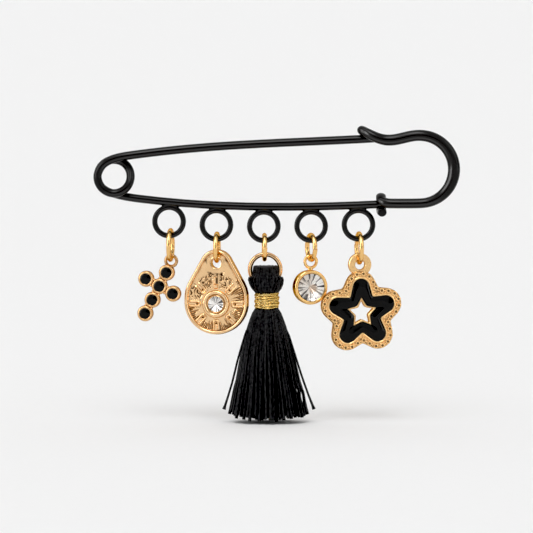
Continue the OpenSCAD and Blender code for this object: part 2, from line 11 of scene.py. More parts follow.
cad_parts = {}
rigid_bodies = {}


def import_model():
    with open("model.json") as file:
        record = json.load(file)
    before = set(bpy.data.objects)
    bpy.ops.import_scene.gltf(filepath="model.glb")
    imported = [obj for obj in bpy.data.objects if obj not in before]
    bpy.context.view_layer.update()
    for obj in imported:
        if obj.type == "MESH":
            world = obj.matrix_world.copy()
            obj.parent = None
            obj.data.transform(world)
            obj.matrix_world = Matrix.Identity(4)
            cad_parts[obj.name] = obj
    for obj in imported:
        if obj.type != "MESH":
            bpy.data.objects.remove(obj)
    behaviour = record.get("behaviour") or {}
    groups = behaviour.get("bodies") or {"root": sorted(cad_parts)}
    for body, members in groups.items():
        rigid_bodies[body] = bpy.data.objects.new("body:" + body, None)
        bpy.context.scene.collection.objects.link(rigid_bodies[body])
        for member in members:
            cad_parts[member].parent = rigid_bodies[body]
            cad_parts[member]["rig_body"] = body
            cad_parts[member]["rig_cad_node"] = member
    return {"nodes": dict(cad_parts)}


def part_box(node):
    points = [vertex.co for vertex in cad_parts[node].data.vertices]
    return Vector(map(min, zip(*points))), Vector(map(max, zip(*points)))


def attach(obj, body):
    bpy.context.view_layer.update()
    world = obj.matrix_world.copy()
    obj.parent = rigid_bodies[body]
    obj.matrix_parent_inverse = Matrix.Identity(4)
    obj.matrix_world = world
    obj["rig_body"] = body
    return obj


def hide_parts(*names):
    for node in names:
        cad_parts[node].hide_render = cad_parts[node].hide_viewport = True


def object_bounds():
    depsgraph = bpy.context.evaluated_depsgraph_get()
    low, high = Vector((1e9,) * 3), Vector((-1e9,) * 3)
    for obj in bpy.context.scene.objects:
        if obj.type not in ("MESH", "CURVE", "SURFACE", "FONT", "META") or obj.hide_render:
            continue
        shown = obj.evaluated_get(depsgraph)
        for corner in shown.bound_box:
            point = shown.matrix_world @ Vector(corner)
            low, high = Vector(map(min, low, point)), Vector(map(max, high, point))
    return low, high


bl_info = {
    "name": "Charm Brooch",
    "version": (1, 0, 0),
    "blender": (4, 5, 0),
    "location": "View3D > Sidebar > Brooch",
    "description": "Wires, gold charms, enamel, stones and tassel of a charm brooch",
    "category": "Object",
}

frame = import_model()
cad_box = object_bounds()

MM = 0.001
# Brings millimetres to metres
IN_METRES = Matrix.Scale(MM, 4)
# Turns a charm drawn flat, x to the right, y up and z to the front, so that it stands and faces -Y
FACING = Matrix.Rotation(math.radians(90), 4, "X")
# Points nearer than this are merged in a piece drawn in millimetres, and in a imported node, which is in metres
MERGE_MM = 1e-4
MERGE_M = 1e-6
# The attribute that keeps each point's place in its charm's own millimetres
CHARM_SPACE = "charm_mm"
# The attribute that says how much darkening a point holds: patina, painted shade and painted dark reflections
PATINA_AND_PAINTED_DARK = "patina"
# The small lights that fall on the pin alone: for each, the CAD nodes of the wires it falls on
SMALL_LIGHTS = {"near_strip": ("head",), "bounce_card": ("needle", "head", "bar")}


class PinLooks(bpy.types.PropertyGroup):
    """Sizes and colours of the coated wires"""

    coat: bpy.props.StringProperty(
        name="Coating", description="Colour of the black lacquer", default="#080707"
    )
    fatten: bpy.props.FloatProperty(
        name="Fatten",
        description="What rounding the twelve-sided wire takes off its radius, as a share",
        default=0.07,
        subtype="FACTOR",
    )
    remesh: bpy.props.FloatProperty(
        name="Remesh size", description="Mesh size in mm of the bar with its soldered loops", default=0.103
    )


class GoldLooks(bpy.types.PropertyGroup):
    """Colours of the gold platings"""

    yellow: bpy.props.StringProperty(
        name="Yellow gold", description="Jump rings and bezel", default="#F4C884"
    )
    peach: bpy.props.StringProperty(name="Peach gold", description="Teardrop and ring", default="#F8D3A4")
    cups: bpy.props.StringProperty(name="Cups", description="Cross, a shade deeper", default="#E4B884")
    matte: bpy.props.StringProperty(name="Matte gold", description="Star", default="#F3C98E")
    # Patina is also the colour of painted shade on the cross and of painted dark reflections on the ring and
    # teardrop
    patina: bpy.props.StringProperty(
        name="Patina", description="Dark finish in the hollows", default="#3A2311"
    )
    thread: bpy.props.StringProperty(name="Gold thread", description="Band of the tassel", default="#FFDA80")


class CharmSizes(bpy.types.PropertyGroup):
    """How the charms hang, in millimetres and degrees"""

    ring_wire: bpy.props.FloatProperty(name="Ring wire", description="Wire of a jump ring, mm", default=1.0)
    hang_gap: bpy.props.FloatProperty(
        name="Gap", description="Gap between an eye and its ring, mm", default=0.07
    )
    cross_turn: bpy.props.FloatProperty(
        name="Cross turn", description="Degrees about the vertical", default=-10
    )
    cross_lean: bpy.props.FloatProperty(name="Cross lean", description="Degrees to the left", default=28)
    drop_turn: bpy.props.FloatProperty(
        name="Teardrop turn", description="Degrees about the vertical", default=-12
    )
    crystal_turn: bpy.props.FloatProperty(
        name="Crystal turn", description="Degrees about the vertical", default=19
    )
    crystal_lean: bpy.props.FloatProperty(name="Crystal lean", description="Degrees to the left", default=2.5)
    star_turn: bpy.props.FloatProperty(name="Star turn", description="Degrees about the vertical", default=11)
    star_lean: bpy.props.FloatProperty(name="Star lean", description="Degrees to the right", default=2)


class TasselSizes(bpy.types.PropertyGroup):
    """Threads of the tassel"""

    thread_d: bpy.props.FloatProperty(name="Thread", description="Thread diameter, mm", default=0.66)
    skirt: bpy.props.IntProperty(name="Skirt threads", description="Threads in the outer layer", default=64)
    head: bpy.props.IntProperty(name="Head threads", description="Threads folded over the ring", default=30)
    turns: bpy.props.IntProperty(name="Band turns", description="Turns of gold thread", default=11)


class StageLooks(bpy.types.PropertyGroup):
    """Camera and light"""

    elevation: bpy.props.FloatProperty(
        name="Elevation", description="Camera above the horizon, degrees", default=4.5
    )
    distance: bpy.props.FloatProperty(
        name="Distance", description="Camera to object", default=1.2, unit="LENGTH"
    )
    view_width: bpy.props.FloatProperty(
        name="View width", description="Width of the picture at the object, mm", default=115.9
    )
    paper: bpy.props.StringProperty(name="Paper", description="Colour of the floor", default="#F1F1F1")


# Small tools for places and shapes


def box_mm(node):
    """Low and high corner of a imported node, in millimetres."""
    return [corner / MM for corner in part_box(node)]


def moved(x=0, y=0, z=0):
    """A move."""
    return Matrix.Translation((x, y, z))


def turned(degrees):
    """A turn about the z axis."""
    return Matrix.Rotation(math.radians(degrees), 4, "Z")


def step(low, high, value):
    """A smooth step from 0 at low to 1 at high."""
    t = min(1, max(0, (value - low) / (high - low)))
    return t * t * (3 - 2 * t)


def fall(low, high, value):
    """A smooth fall from 1 at low to 0 at high."""
    return 1 - step(low, high, value)


def bell(off, width):
    """A bell that is 1 where off is 0."""
    return math.exp(-((off / width) ** 2))


def ripple(x, y, layer):
    """Smooth noise in one of its layers."""
    return noise.noise(Vector((x, y, layer)))


def circle(count, r, height, turn=0, deep=None, centre=(0, 0)):
    """Points round a circle at a height, or round an oval where its half depth is given."""
    angles = [math.tau * k / count + turn for k in range(count)]
    deep = r if deep is None else deep
    return [(centre[0] + r * math.cos(a), centre[1] + deep * math.sin(a), height) for a in angles]


def arc(centre, radius, start, end, steps):
    """Points on an arc in degrees, in the flat of a charm."""
    angles = [math.radians(start + (end - start) * i / steps) for i in range(steps + 1)]
    return [Vector((centre[0] + radius * math.cos(a), centre[1] + radius * math.sin(a))) for a in angles]


def raised(outline, height):
    """An outline at a height."""
    return [(p[0], p[1], height) for p in outline]


# Small tools for modelling


def select_only(obj):
    """Selects one object and makes it active."""
    bpy.ops.object.select_all(action="DESELECT")
    obj.select_set(True)
    bpy.context.view_layer.objects.active = obj


def edit(obj, action="DESELECT"):
    """Opens an object's mesh for editing, with nothing selected, or with all for SELECT."""
    select_only(obj)
    bpy.ops.object.mode_set(mode="EDIT")
    bpy.ops.mesh.select_mode(type="VERT")
    bpy.ops.mesh.select_all(action=action)


def close():
    """Ends editing."""
    bpy.ops.object.mode_set(mode="OBJECT")


def close_outwards():
    """Turns all faces outwards and ends editing."""
    bpy.ops.mesh.select_all(action="SELECT")
    bpy.ops.mesh.normals_make_consistent(inside=False)
    close()


def pick_faces(obj, test):
    """Selects the faces that pass the test, in edit mode."""
    bpy.ops.mesh.select_mode(type="FACE")
    bpy.ops.mesh.select_all(action="DESELECT")
    form = bmesh.from_edit_mesh(obj.data)
    for face in form.faces:
        face.select_set(test(face))
    form.select_flush_mode()
    bmesh.update_edit_mesh(obj.data)


def modify(obj, kind, **settings):
    """Adds a modifier and applies it."""
    select_only(obj)
    modifier = obj.modifiers.new(kind.title(), kind)
    for key, value in settings.items():
        setattr(modifier, key, value)
    bpy.ops.object.modifier_apply(modifier=modifier.name)


def spun(name, profile, steps):
    """A turned piece: the profile is a closed row of (radius, height), spun about the z axis."""
    bpy.ops.mesh.primitive_circle_add(vertices=len(profile), fill_type="NOTHING")
    obj = bpy.context.object
    obj.name = name
    for vertex, (radius, height) in zip(obj.data.vertices, profile):
        vertex.co = (radius, 0, height)
    edit(obj, "SELECT")
    bpy.ops.mesh.spin(steps=steps, angle=math.tau, center=(0, 0, 0), axis=(0, 0, 1))
    bpy.ops.mesh.select_all(action="SELECT")
    bpy.ops.mesh.remove_doubles(threshold=MERGE_MM)
    bpy.ops.mesh.dissolve_degenerate(threshold=MERGE_MM)
    close_outwards()
    return obj


def lofted(name, sections, ring=False):
    """A skin over sections with equal counts of points. A ring joins the last section to the first."""
    around, along = len(sections[0]), len(sections)
    bpy.ops.mesh.primitive_grid_add(x_subdivisions=around, y_subdivisions=along - 1 + ring)
    obj = bpy.context.object
    obj.name = name
    for i, vertex in enumerate(obj.data.vertices):
        row, column = divmod(i, around + 1)
        vertex.co = sections[row % along][column % around]
    edit(obj, "SELECT")
    bpy.ops.mesh.remove_doubles(threshold=MERGE_MM)
    if not ring:
        bpy.ops.mesh.select_all(action="DESELECT")
        bpy.ops.mesh.select_non_manifold(extend=False)
        bpy.ops.mesh.fill_holes(sides=0)
    close_outwards()
    return obj


def torus(ring_r, wire_r, around, across):
    """A ring of round wire, in the flat of its charm."""
    bpy.ops.mesh.primitive_torus_add(
        major_radius=ring_r, minor_radius=wire_r, major_segments=around, minor_segments=across
    )
    return bpy.context.object


def grain(radius, subdivisions=2):
    """A small round bead."""
    bpy.ops.mesh.primitive_ico_sphere_add(subdivisions=subdivisions, radius=radius)
    return bpy.context.object


def wires(name, paths, radius, sides=8):
    """Round wires along paths of points. A point may have a fourth number, its share of the radius."""
    data = bpy.data.curves.new(name, "CURVE")
    data.dimensions = "3D"
    data.bevel_depth = radius
    data.bevel_resolution = sides // 2 - 2
    data.use_fill_caps = True
    for path in paths:
        spline = data.splines.new("POLY")
        spline.points.add(len(path) - 1)
        spline.use_smooth = True
        for point, place in zip(spline.points, path):
            point.co = (*place[:3], 1)
            point.radius = place[3] if len(place) > 3 else 1
    obj = bpy.data.objects.new(name, data)
    bpy.context.scene.collection.objects.link(obj)
    select_only(obj)
    bpy.ops.object.convert(target="MESH")
    return bpy.context.object


def joined(name, pieces):
    """Joins pieces into one object."""
    select_only(pieces[0])
    for piece in pieces[1:]:
        piece.select_set(True)
    bpy.ops.object.join()
    pieces[0].name = name
    return pieces[0]


def copied(obj, matrix):
    """A copy with its own mesh, moved by the matrix."""
    copy = obj.copy()
    copy.data = obj.data.copy()
    copy.data.transform(matrix)
    bpy.context.scene.collection.objects.link(copy)
    return copy


def node_copy(node):
    """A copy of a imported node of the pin, with its loose triangles merged."""
    copy = copied(frame["nodes"][node], Matrix.Identity(4))
    copy.parent = None
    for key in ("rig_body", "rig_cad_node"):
        del copy[key]
    copy.name = f"pin_{node}"
    copy.data.materials.clear()
    edit(copy, "SELECT")
    bpy.ops.mesh.customdata_custom_splitnormals_clear()
    bpy.ops.mesh.remove_doubles(threshold=MERGE_M)
    close()
    return copy


def hold_patina_and_painted_dark(obj, shares):
    """Keeps each point's share of patina and painted dark with the piece."""
    attribute = obj.data.attributes.new(PATINA_AND_PAINTED_DARK, "FLOAT", "POINT")
    attribute.data.foreach_set("value", shares)
    return obj


def stained_and_painted_dark(obj, amount):
    """Gives each point its share of patina and painted dark, from a function of its place or one number."""
    return hold_patina_and_painted_dark(obj, [amount(v.co) if callable(amount) else amount for v in obj.data.vertices])


def shaded(obj, axis_x, least=0, sides=8):
    """Gives the points of round strands a share of shade, least on the side away from the tassel's axis."""
    points = [v.co for v in obj.data.vertices]
    shares = []
    for start in range(0, len(points), sides):
        ring = points[start : start + sides]
        centre = sum(ring, Vector()) / len(ring)
        # On top of the head the light side is the upper one
        out = Vector((centre.x - axis_x, centre.y, 6 * max(0, centre.z - 0.2))).normalized()
        shares += [max(least, fall(0, 0.95, (p - centre).normalized().dot(out))) for p in ring]
    return hold_patina_and_painted_dark(obj, shares)


def finish(obj, body, material, nodes=(), place=None, angle=35):
    """Keeps the charm's own millimetres, moves the piece to its place and gives it body, finish and nodes."""
    if place is not None:
        attribute = obj.data.attributes.new(CHARM_SPACE, "FLOAT_VECTOR", "POINT")
        attribute.data.foreach_set("vector", [c for v in obj.data.vertices for c in v.co])
        obj.data.transform(place)
    obj.data.materials.clear()
    obj.data.materials.append(material)
    select_only(obj)
    bpy.ops.object.shade_smooth_by_angle(angle=math.radians(angle))
    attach(obj, body)
    if nodes:
        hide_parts(*nodes)


def hang_place(number, turn, aside, eye_r, eye_depth):
    """The place of a charm whose eye, drawn round the origin, hangs on a jump ring."""
    sizes = bpy.context.scene.brooch_charms
    low, high = box_mm(f"jump_ring_{number}")
    inner_r = (high.z - low.z) / 2 - sizes.ring_wire
    climb = inner_r - math.sqrt(inner_r**2 - eye_depth**2 / 4)
    eye_z = low.z + sizes.ring_wire + sizes.hang_gap + climb - eye_r
    ring_low, ring_high = box_mm("tassel_ring")
    eye = Vector(((low.x + high.x) / 2 + aside, (ring_low.y + ring_high.y) / 2, eye_z))
    return IN_METRES @ Matrix.Translation(eye) @ (turned(turn) @ FACING)


# Small tools for materials


def linear(code):
    """An sRGB hex colour as linear red, green, blue and alpha."""
    parts = [int(code[i : i + 2], 16) / 255 for i in (1, 3, 5)]
    return [c / 12.92 if c <= 0.04045 else ((c + 0.055) / 1.055) ** 2.4 for c in parts] + [1]


def add_node(tree, kind, inputs=None, output=0, **settings):
    """Adds a node with its settings and gives one output. An input that is a socket is linked."""
    node = tree.nodes.new("ShaderNode" + kind)
    for key, value in settings.items():
        setattr(node, key, value)
    for key, value in (inputs or {}).items():
        if isinstance(value, bpy.types.NodeSocket):
            tree.links.new(value, node.inputs[key])
        else:
            node.inputs[key].default_value = value
    return node.outputs[output]


def start_material(name, **values):
    """A material with a Principled shader, its values set by the sockets' names with low lines for spaces."""
    material = bpy.data.materials.new(name)
    material.use_nodes = True
    shader = material.node_tree.nodes["Principled BSDF"]
    for key, value in values.items():
        shader.inputs[key.replace("_", " ")].default_value = value
    return material, material.node_tree


def in_millimetres(tree):
    """Object coordinates in millimetres."""
    place = add_node(tree, "TexCoord", output="Object")
    return add_node(tree, "VectorMath", {0: place, "Scale": 1 / MM}, operation="SCALE")


def in_charm(tree):
    """A charm's own coordinates in millimetres, kept as an attribute of its mesh."""
    return add_node(tree, "Attribute", output="Vector", attribute_name=CHARM_SPACE)


def patina_and_painted_dark_held(tree):
    """The share of patina and painted dark that the mesh holds."""
    return add_node(tree, "Attribute", output="Fac", attribute_name=PATINA_AND_PAINTED_DARK)


def dressed(material, colour=None, layers=(), rough=None, relief=None):
    """The material with its colour and others laid over it, the spread of its roughness, and its relief.

    A layer is the share it covers and its colour. rough is a share with the least and the most roughness,
    and relief a height with its strength and its depth in millimetres.
    """
    tree = material.node_tree
    sockets = tree.nodes["Principled BSDF"].inputs
    if layers:
        tint = linear(colour)
        for share, over in layers:
            tint = add_node(tree, "Mix", {0: share, 6: tint, 7: linear(over)}, 2, data_type="RGBA")
        tree.links.new(tint, sockets["Base Color"])
    if rough:
        share, least, most = rough
        spread = add_node(tree, "MapRange", {"Value": share, "To Min": least, "To Max": most})
        tree.links.new(spread, sockets["Roughness"])
    if relief:
        height, strength, depth = relief
        bump = add_node(tree, "Bump", {"Height": height, "Strength": strength, "Distance": depth * MM})
        tree.links.new(bump, sockets["Normal"])
    return material


# Materials, named for the real finishes


def coated_wire():
    """Electrophoretic black lacquer on steel wire: a thin satin film with a faint orange peel."""
    coat = bpy.context.scene.brooch_pin.coat
    material, tree = start_material("black_lacquered_steel_wire", Roughness=0.18, Specular_IOR_Level=0.3)
    place = in_millimetres(tree)
    # Uneven film: patches of about 3 mm are a little browner and duller
    patches = add_node(tree, "TexNoise", {"Vector": place, "Scale": 1 / 3, "Detail": 3})
    # Orange peel, with bumps about 0.5 mm across
    peel = add_node(tree, "TexNoise", {"Vector": place, "Scale": 1 / 0.5, "Detail": 2})
    return dressed(material, coat, [(patches, "#0D0B0A")], (patches, 0.14, 0.22), (peel, 0.5, 0.007))


def polished_gold(charm=False):
    """Yellow gold plating on polished wire: bright, with faint draw marks and a slightly uneven colour."""
    name = "polished_gold_plating_charm" if charm else "polished_gold_plating"
    material, tree = start_material(name, Metallic=1, Roughness=0.14, Specular_Tint=linear("#CFA468"))
    place = in_charm(tree) if charm else in_millimetres(tree)
    # Plating thickness drifts over about 1.5 mm
    drift = add_node(tree, "TexNoise", {"Vector": place, "Scale": 0.7, "Detail": 2})
    # Draw marks of about 0.15 mm
    marks = add_node(tree, "TexNoise", {"Vector": place, "Scale": 6, "Detail": 3})
    # Painted dark reflections and painted shade where the charm holds them, and none on the rings
    layers = [(drift, "#F3C684"), (patina_and_painted_dark_held(tree), "#120E0A")]
    yellow = bpy.context.scene.brooch_golds.yellow
    return dressed(material, yellow, layers, (drift, 0.08, 0.18), (marks, 0.3, 0.001))


def peach_wire():
    """Peach gold plating on drawn wire: bright, with painted dark reflections in lines that run round the ring.
    """
    looks = bpy.context.scene.brooch_golds
    material, tree = start_material(
        "peach_gold_plated_wire", Metallic=1, Roughness=0.17, Specular_Tint=linear("#C09868")
    )
    # Plating thickness drifts over about 1.3 mm
    drift = add_node(tree, "TexNoise", {"Vector": in_millimetres(tree), "Scale": 0.8, "Detail": 2})
    # The dark layer is the painted reflections that the ring holds
    layers = [(drift, "#EDBB88"), (patina_and_painted_dark_held(tree), looks.patina)]
    return dressed(material, looks.peach, layers, (drift, 0.1, 0.18))


def cast_gold(name, colour, dark, hollow_from, hollow_to, grain_size, rough):
    """Gold plating on cast zinc alloy, wiped back so that a brown patina stays below the raised parts.

    On the cross this darkening below the raised parts is painted shade. The hollows go from hollow_to up
    to hollow_from, in millimetres in front of the charm's middle. The grain of the casting is given in
    millimetres.
    """
    material, tree = start_material(name, Metallic=1, Roughness=rough, Specular_Tint=linear("#B88C58"))
    place = in_charm(tree)
    front = add_node(tree, "SeparateXYZ", {0: place}, "Z")
    skin = add_node(tree, "TexNoise", {"Vector": place, "Scale": 1 / grain_size, "Detail": 3})
    # Patches of about 1.7 mm are duller
    blotch = add_node(tree, "TexNoise", {"Vector": place, "Scale": 0.6, "Detail": 3})
    # Darker below the raised parts: brown patina on the star, painted shade on the cross
    hollows = {"Value": front, "From Min": hollow_to, "From Max": hollow_from, "To Min": 0.8, "To Max": 0}
    depth = add_node(tree, "MapRange", hollows)
    # The patina lies in flecks between the grains
    pits = {"Value": skin, "From Min": 0.42, "From Max": 0.55, "To Min": 1, "To Max": 0.15}
    fleck = add_node(tree, "MapRange", pits)
    hollow = add_node(tree, "Math", {0: depth, 1: fleck}, operation="MULTIPLY")
    darkening = add_node(tree, "Math", {0: hollow, 1: patina_and_painted_dark_held(tree)}, operation="ADD", use_clamp=True)
    relief = (skin, 0.6, 0.12 * grain_size)
    return dressed(material, colour, [(darkening, dark)], (blotch, rough - 0.08, rough + 0.08), relief)


def hatched_gold():
    """Peach gold plating on a cast teardrop: bright where it is raised, with brown patina in its cuts."""
    looks = bpy.context.scene.brooch_golds
    material, tree = start_material(
        "antique_peach_gold_hatched", Metallic=1, Roughness=0.2, Specular_Tint=linear("#C8A070")
    )
    place = in_charm(tree)
    # The held share is patina in the cuts, painted shadow by the raised walls and a painted dark reflection on
    # the right wall
    held = patina_and_painted_dark_held(tree)
    # The plating is a shade deeper in patches of about a millimetre
    blotch = add_node(tree, "TexNoise", {"Vector": place, "Scale": 0.9, "Detail": 4})
    # Skin of the casting, bumps about 0.2 mm across
    skin = add_node(tree, "TexNoise", {"Vector": place, "Scale": 5, "Detail": 2})
    layers = [(blotch, "#F1C692"), (held, looks.patina)]
    return dressed(material, looks.peach, layers, (held, 0.16, 0.42), (skin, 0.35, 0.012))


def black_enamel():
    """Glossy black epoxy enamel: poured, so it is deep and mirror smooth, with slow waves."""
    material, tree = start_material(
        "black_epoxy_enamel", Base_Color=linear("#040404"), Roughness=0.12, Specular_IOR_Level=0.3
    )
    place = in_charm(tree)
    # Waves about 2 mm long
    waves = add_node(tree, "TexNoise", {"Vector": place, "Scale": 0.5, "Detail": 1})
    # Fine dust in the pour dulls it in specks of about 0.3 mm
    dust = add_node(tree, "TexNoise", {"Vector": place, "Scale": 3, "Detail": 3})
    return dressed(material, rough=(dust, 0.09, 0.18), relief=(waves, 0.3, 0.02))


def cut_glass():
    """Clear cut glass: lead glass, polished flat on every facet, with faint clouds about 0.5 mm across."""
    clear = "#FFFFFF"
    material, tree = start_material(
        "cut_glass", Base_Color=linear(clear), Roughness=0.0, IOR=1.58, Transmission_Weight=1
    )
    clouds = add_node(tree, "TexNoise", {"Vector": in_charm(tree), "Scale": 2, "Detail": 2})
    return dressed(material, clear, [(clouds, "#FBF8F4")])


def silver_foil(name, centre, reach, zones, glow):
    """Silver foil behind a stone, with painted light and dark for what the stone's facets throw on it.

    The painted streaks run outwards from the centre, and are new in each zone of the stone's reach. The
    glow is a place where a painted reflection of the setting's gold lies on the foil.
    """
    material, tree = start_material(name, Metallic=1, Roughness=0.3, Emission_Strength=0.22)
    place = add_node(tree, "VectorMath", {0: in_charm(tree), 1: centre}, operation="SUBTRACT")
    flat = add_node(tree, "VectorMath", {0: place, 1: (1, 1, 0)}, operation="MULTIPLY")
    away = add_node(tree, "VectorMath", {0: flat}, "Value", operation="LENGTH")
    spoke = add_node(tree, "VectorMath", {0: flat}, operation="NORMALIZE")
    zone = add_node(tree, "Math", {0: away, 1: zones / reach}, operation="MULTIPLY")
    zone = add_node(tree, "Math", {0: zone}, operation="FLOOR")
    lift = add_node(tree, "CombineXYZ", {2: zone})
    at = add_node(tree, "VectorMath", {0: spoke, 1: lift}, operation="ADD")
    streaks = add_node(tree, "TexNoise", {"Vector": at, "Scale": 5, "Detail": 3})
    level = add_node(tree, "MapRange", {"Value": streaks, "From Min": 0.42, "From Max": 0.51})
    near = add_node(tree, "VectorMath", {0: flat, 1: glow}, "Value", operation="DISTANCE")
    fade = {"Value": near, "From Min": 0.2 * reach, "From Max": 0.4 * reach, "To Min": 0.75, "To Max": 0}
    painted_gold_reflection = add_node(tree, "MapRange", fade)
    dressed(material, "#26262E", [(level, "#FFFEFC"), (painted_gold_reflection, "#B89A7C")])
    # A painted glow: the foil gives off a little light in its own colour, for what the crown gathers on it
    sockets = tree.nodes["Principled BSDF"].inputs
    tree.links.new(sockets["Base Color"].links[0].from_socket, sockets["Emission Color"])
    return material


def twisted_thread(name, colour, light, deep, ply, length, relief, **values):
    """Thread of two plies: slanting twist ridges along each strand with painted glints, inner side painted
    shade.

    The strand's own UV map runs round it and along it. ply is the length of one turn, length the strand's
    and relief the height of a ridge, in millimetres. The real twist is too fine to show in the render, so
    it is drawn coarser.
    """
    material, tree = start_material(name, **values)
    place = in_millimetres(tree)
    split = add_node(tree, "SeparateXYZ", {0: add_node(tree, "UVMap", uv_map="UVMap")}).node
    along = add_node(tree, "Math", {0: split.outputs["Y"], 1: length / ply}, operation="MULTIPLY")
    slant = add_node(tree, "Math", {0: along, 1: split.outputs["X"]}, operation="ADD")
    # Neighbouring strands are out of step
    across = add_node(tree, "VectorMath", {0: place, 1: (1, 1, 0.05)}, operation="MULTIPLY")
    drift = add_node(tree, "TexNoise", {"Vector": across, "Scale": 0.9, "Detail": 1})
    loose = add_node(tree, "Math", {0: drift, 1: 1.2}, operation="MULTIPLY")
    twist = add_node(tree, "Math", {0: slant, 1: loose}, operation="ADD")
    # Each of the two plies makes a ridge in every turn
    turn = add_node(tree, "Math", {0: twist, 1: 2 * math.tau}, operation="MULTIPLY")
    ridge = add_node(tree, "Math", {0: turn}, operation="SINE")
    level = add_node(tree, "MapRange", {"Value": ridge, "From Min": -1, "From Max": 1})
    crest = add_node(tree, "Math", {0: level, 1: 3}, operation="POWER")
    # Painted glints: only some fibres, in patches of about 0.5 mm, catch the light
    fibres = add_node(tree, "TexNoise", {"Vector": place, "Scale": 2, "Detail": 3})
    patchy = add_node(tree, "MapRange", {"Value": fibres, "From Min": 0.42, "From Max": 0.6, "To Min": 0.15})
    painted_glint = add_node(tree, "Math", {0: crest, 1: patchy}, operation="MULTIPLY")
    # The light colour is the painted glint, and the deep one the painted shade that the mesh holds
    layers = [(painted_glint, light), (patina_and_painted_dark_held(tree), deep)]
    return dressed(material, colour, layers, relief=(level, 0.8, relief))


def studio_paper():
    """White studio paper: matt, with a faint tooth, drawn as coarse as 2 mm so that it shows."""
    paper = bpy.context.scene.brooch_stage.paper
    material, tree = start_material("studio_paper", Roughness=0.9, Specular_IOR_Level=0.1)
    tooth = add_node(tree, "TexNoise", {"Vector": in_millimetres(tree), "Scale": 0.5, "Detail": 3})
    return dressed(material, paper, [(tooth, "#EFEFEF")])


# Pin


def take_small_lights(wire, node):
    """Lets the small lights that are meant for a wire's CAD node fall on the wire."""
    for light, nodes in SMALL_LIGHTS.items():
        if node in nodes:
            bpy.data.collections[light].objects.link(wire)


class BROOCH_OT_pin(bpy.types.Operator):
    """Needle, bar with its loops, and head, in coated wire"""

    bl_idname = "brooch.pin"
    bl_label = "Pin wires"

    def execute(self, context):
        looks = context.scene.brooch_pin
        coat = coated_wire()
        # The node, its body and the radius of its wire in millimetres
        for node, body, wire_r in (("needle", "needle", 0.9), ("head", "brooch", 1.1)):
            wire = node_copy(node)
            edit(wire, "SELECT")
            flat = math.radians(60)
            bpy.ops.mesh.tris_convert_to_quads(face_threshold=flat, shape_threshold=flat)
            bpy.ops.transform.shrink_fatten(value=looks.fatten * wire_r * MM)
            close()
            modify(wire, "SUBSURF", levels=2, render_levels=2)
            finish(wire, body, coat, [node], angle=50)
            take_small_lights(wire, node)
        bar = node_copy("bar")
        modify(bar, "REMESH", mode="VOXEL", voxel_size=looks.remesh * MM, use_smooth_shade=True)
        modify(bar, "SMOOTH", factor=0.5, iterations=10)
        finish(bar, "brooch", coat, ["bar"], angle=60)
        take_small_lights(bar, "bar")
        return {"FINISHED"}


# Jump rings


def split_ring(name, ring_r, wire_r, seam):
    """A split ring of round wire, cut at the seam: degrees up from the front."""
    # Half the cut in degrees, how far its ends spring apart in millimetres, and the steps round the ring
    half_cut, spring, steps = 1.1, 0.05, 96
    path = []
    for i in range(steps + 1):
        a = math.radians(seam + half_cut + (360 - 2 * half_cut) * i / steps)
        side = spring * step(0.9, 1, abs(2 * i / steps - 1)) * (1 if i > steps / 2 else -1)
        path.append((side, -ring_r * math.cos(a), ring_r * math.sin(a)))
    return wires(name, [path], wire_r, sides=20)


class BROOCH_OT_jump_rings(bpy.types.Operator):
    """Split rings of gold wire that carry the charms, and the tassel's closed ring"""

    bl_idname = "brooch.jump_rings"
    bl_label = "Jump rings"

    def execute(self, context):
        gold = polished_gold()
        wire_r = context.scene.brooch_charms.ring_wire / 2
        # The number of each ring, its turn about the vertical and where its cut lies
        for number, turn, seam in ((1, -7, 150), (2, -6, 200), (3, 2, 4), (4, 18, -3), (5, 9, 170)):
            low, high = box_mm(f"jump_ring_{number}")
            ring = split_ring(f"split_ring_{number}", (high.z - low.z) / 2 - wire_r, wire_r, seam)
            place = IN_METRES @ (Matrix.Translation((low + high) / 2) @ turned(turn))
            finish(ring, "brooch", gold, [f"jump_ring_{number}"], place, 50)
        low, high = box_mm("tassel_ring")
        wire_r = (high.y - low.y) / 2
        ring_r = (high.z - low.z) / 2 - wire_r

        def painted_reflection_lines(p):
            """Two painted dark reflections run round the front of the ring."""
            off = (math.hypot(p.x, p.y) - ring_r) / wire_r
            return (0.75 * bell(off - 0.3, 0.14) + 0.6 * bell(off + 0.35, 0.12)) * (p.z > 0)

        ring = stained_and_painted_dark(torus(ring_r, wire_r, 128, 48), painted_reflection_lines)
        ring.name = "tassel_ring_gold"
        place = IN_METRES @ Matrix.Translation((low + high) / 2) @ FACING
        finish(ring, "brooch", peach_wire(), ["tassel_ring"], place)
        return {"FINISHED"}


# Cross charm


class CROSS:
    """Sizes of the cross in millimetres, from the middle of its top cup"""

    pitch = 3.38
    # How many cups across and down each cup lies, and which two cups meet
    cups = ((0, 0), (-1, 1), (0, 1), (1, 1), (0, 2), (0, 3))
    meets = ((1, 2), (2, 3), (0, 2), (2, 4), (4, 5))
    cup_r = 1.75
    enamel_r = 1.2
    half_t = 0.8
    bed = 0.5
    eye = (-0.36, 2.72)
    eye_r = 0.85
    eye_wire = 0.35


def cross_place():
    """Where the cross hangs."""
    sizes = bpy.context.scene.brooch_charms
    hung = hang_place(1, sizes.cross_turn, 0.15, CROSS.eye_r, 2 * CROSS.eye_wire)
    return hung @ turned(-sizes.cross_lean) @ moved(-CROSS.eye[0], -CROSS.eye[1])


def cup_shift(k):
    """Shift of a cup from the top one."""
    across, down = CROSS.cups[k]
    return moved(across * CROSS.pitch, -down * CROSS.pitch)


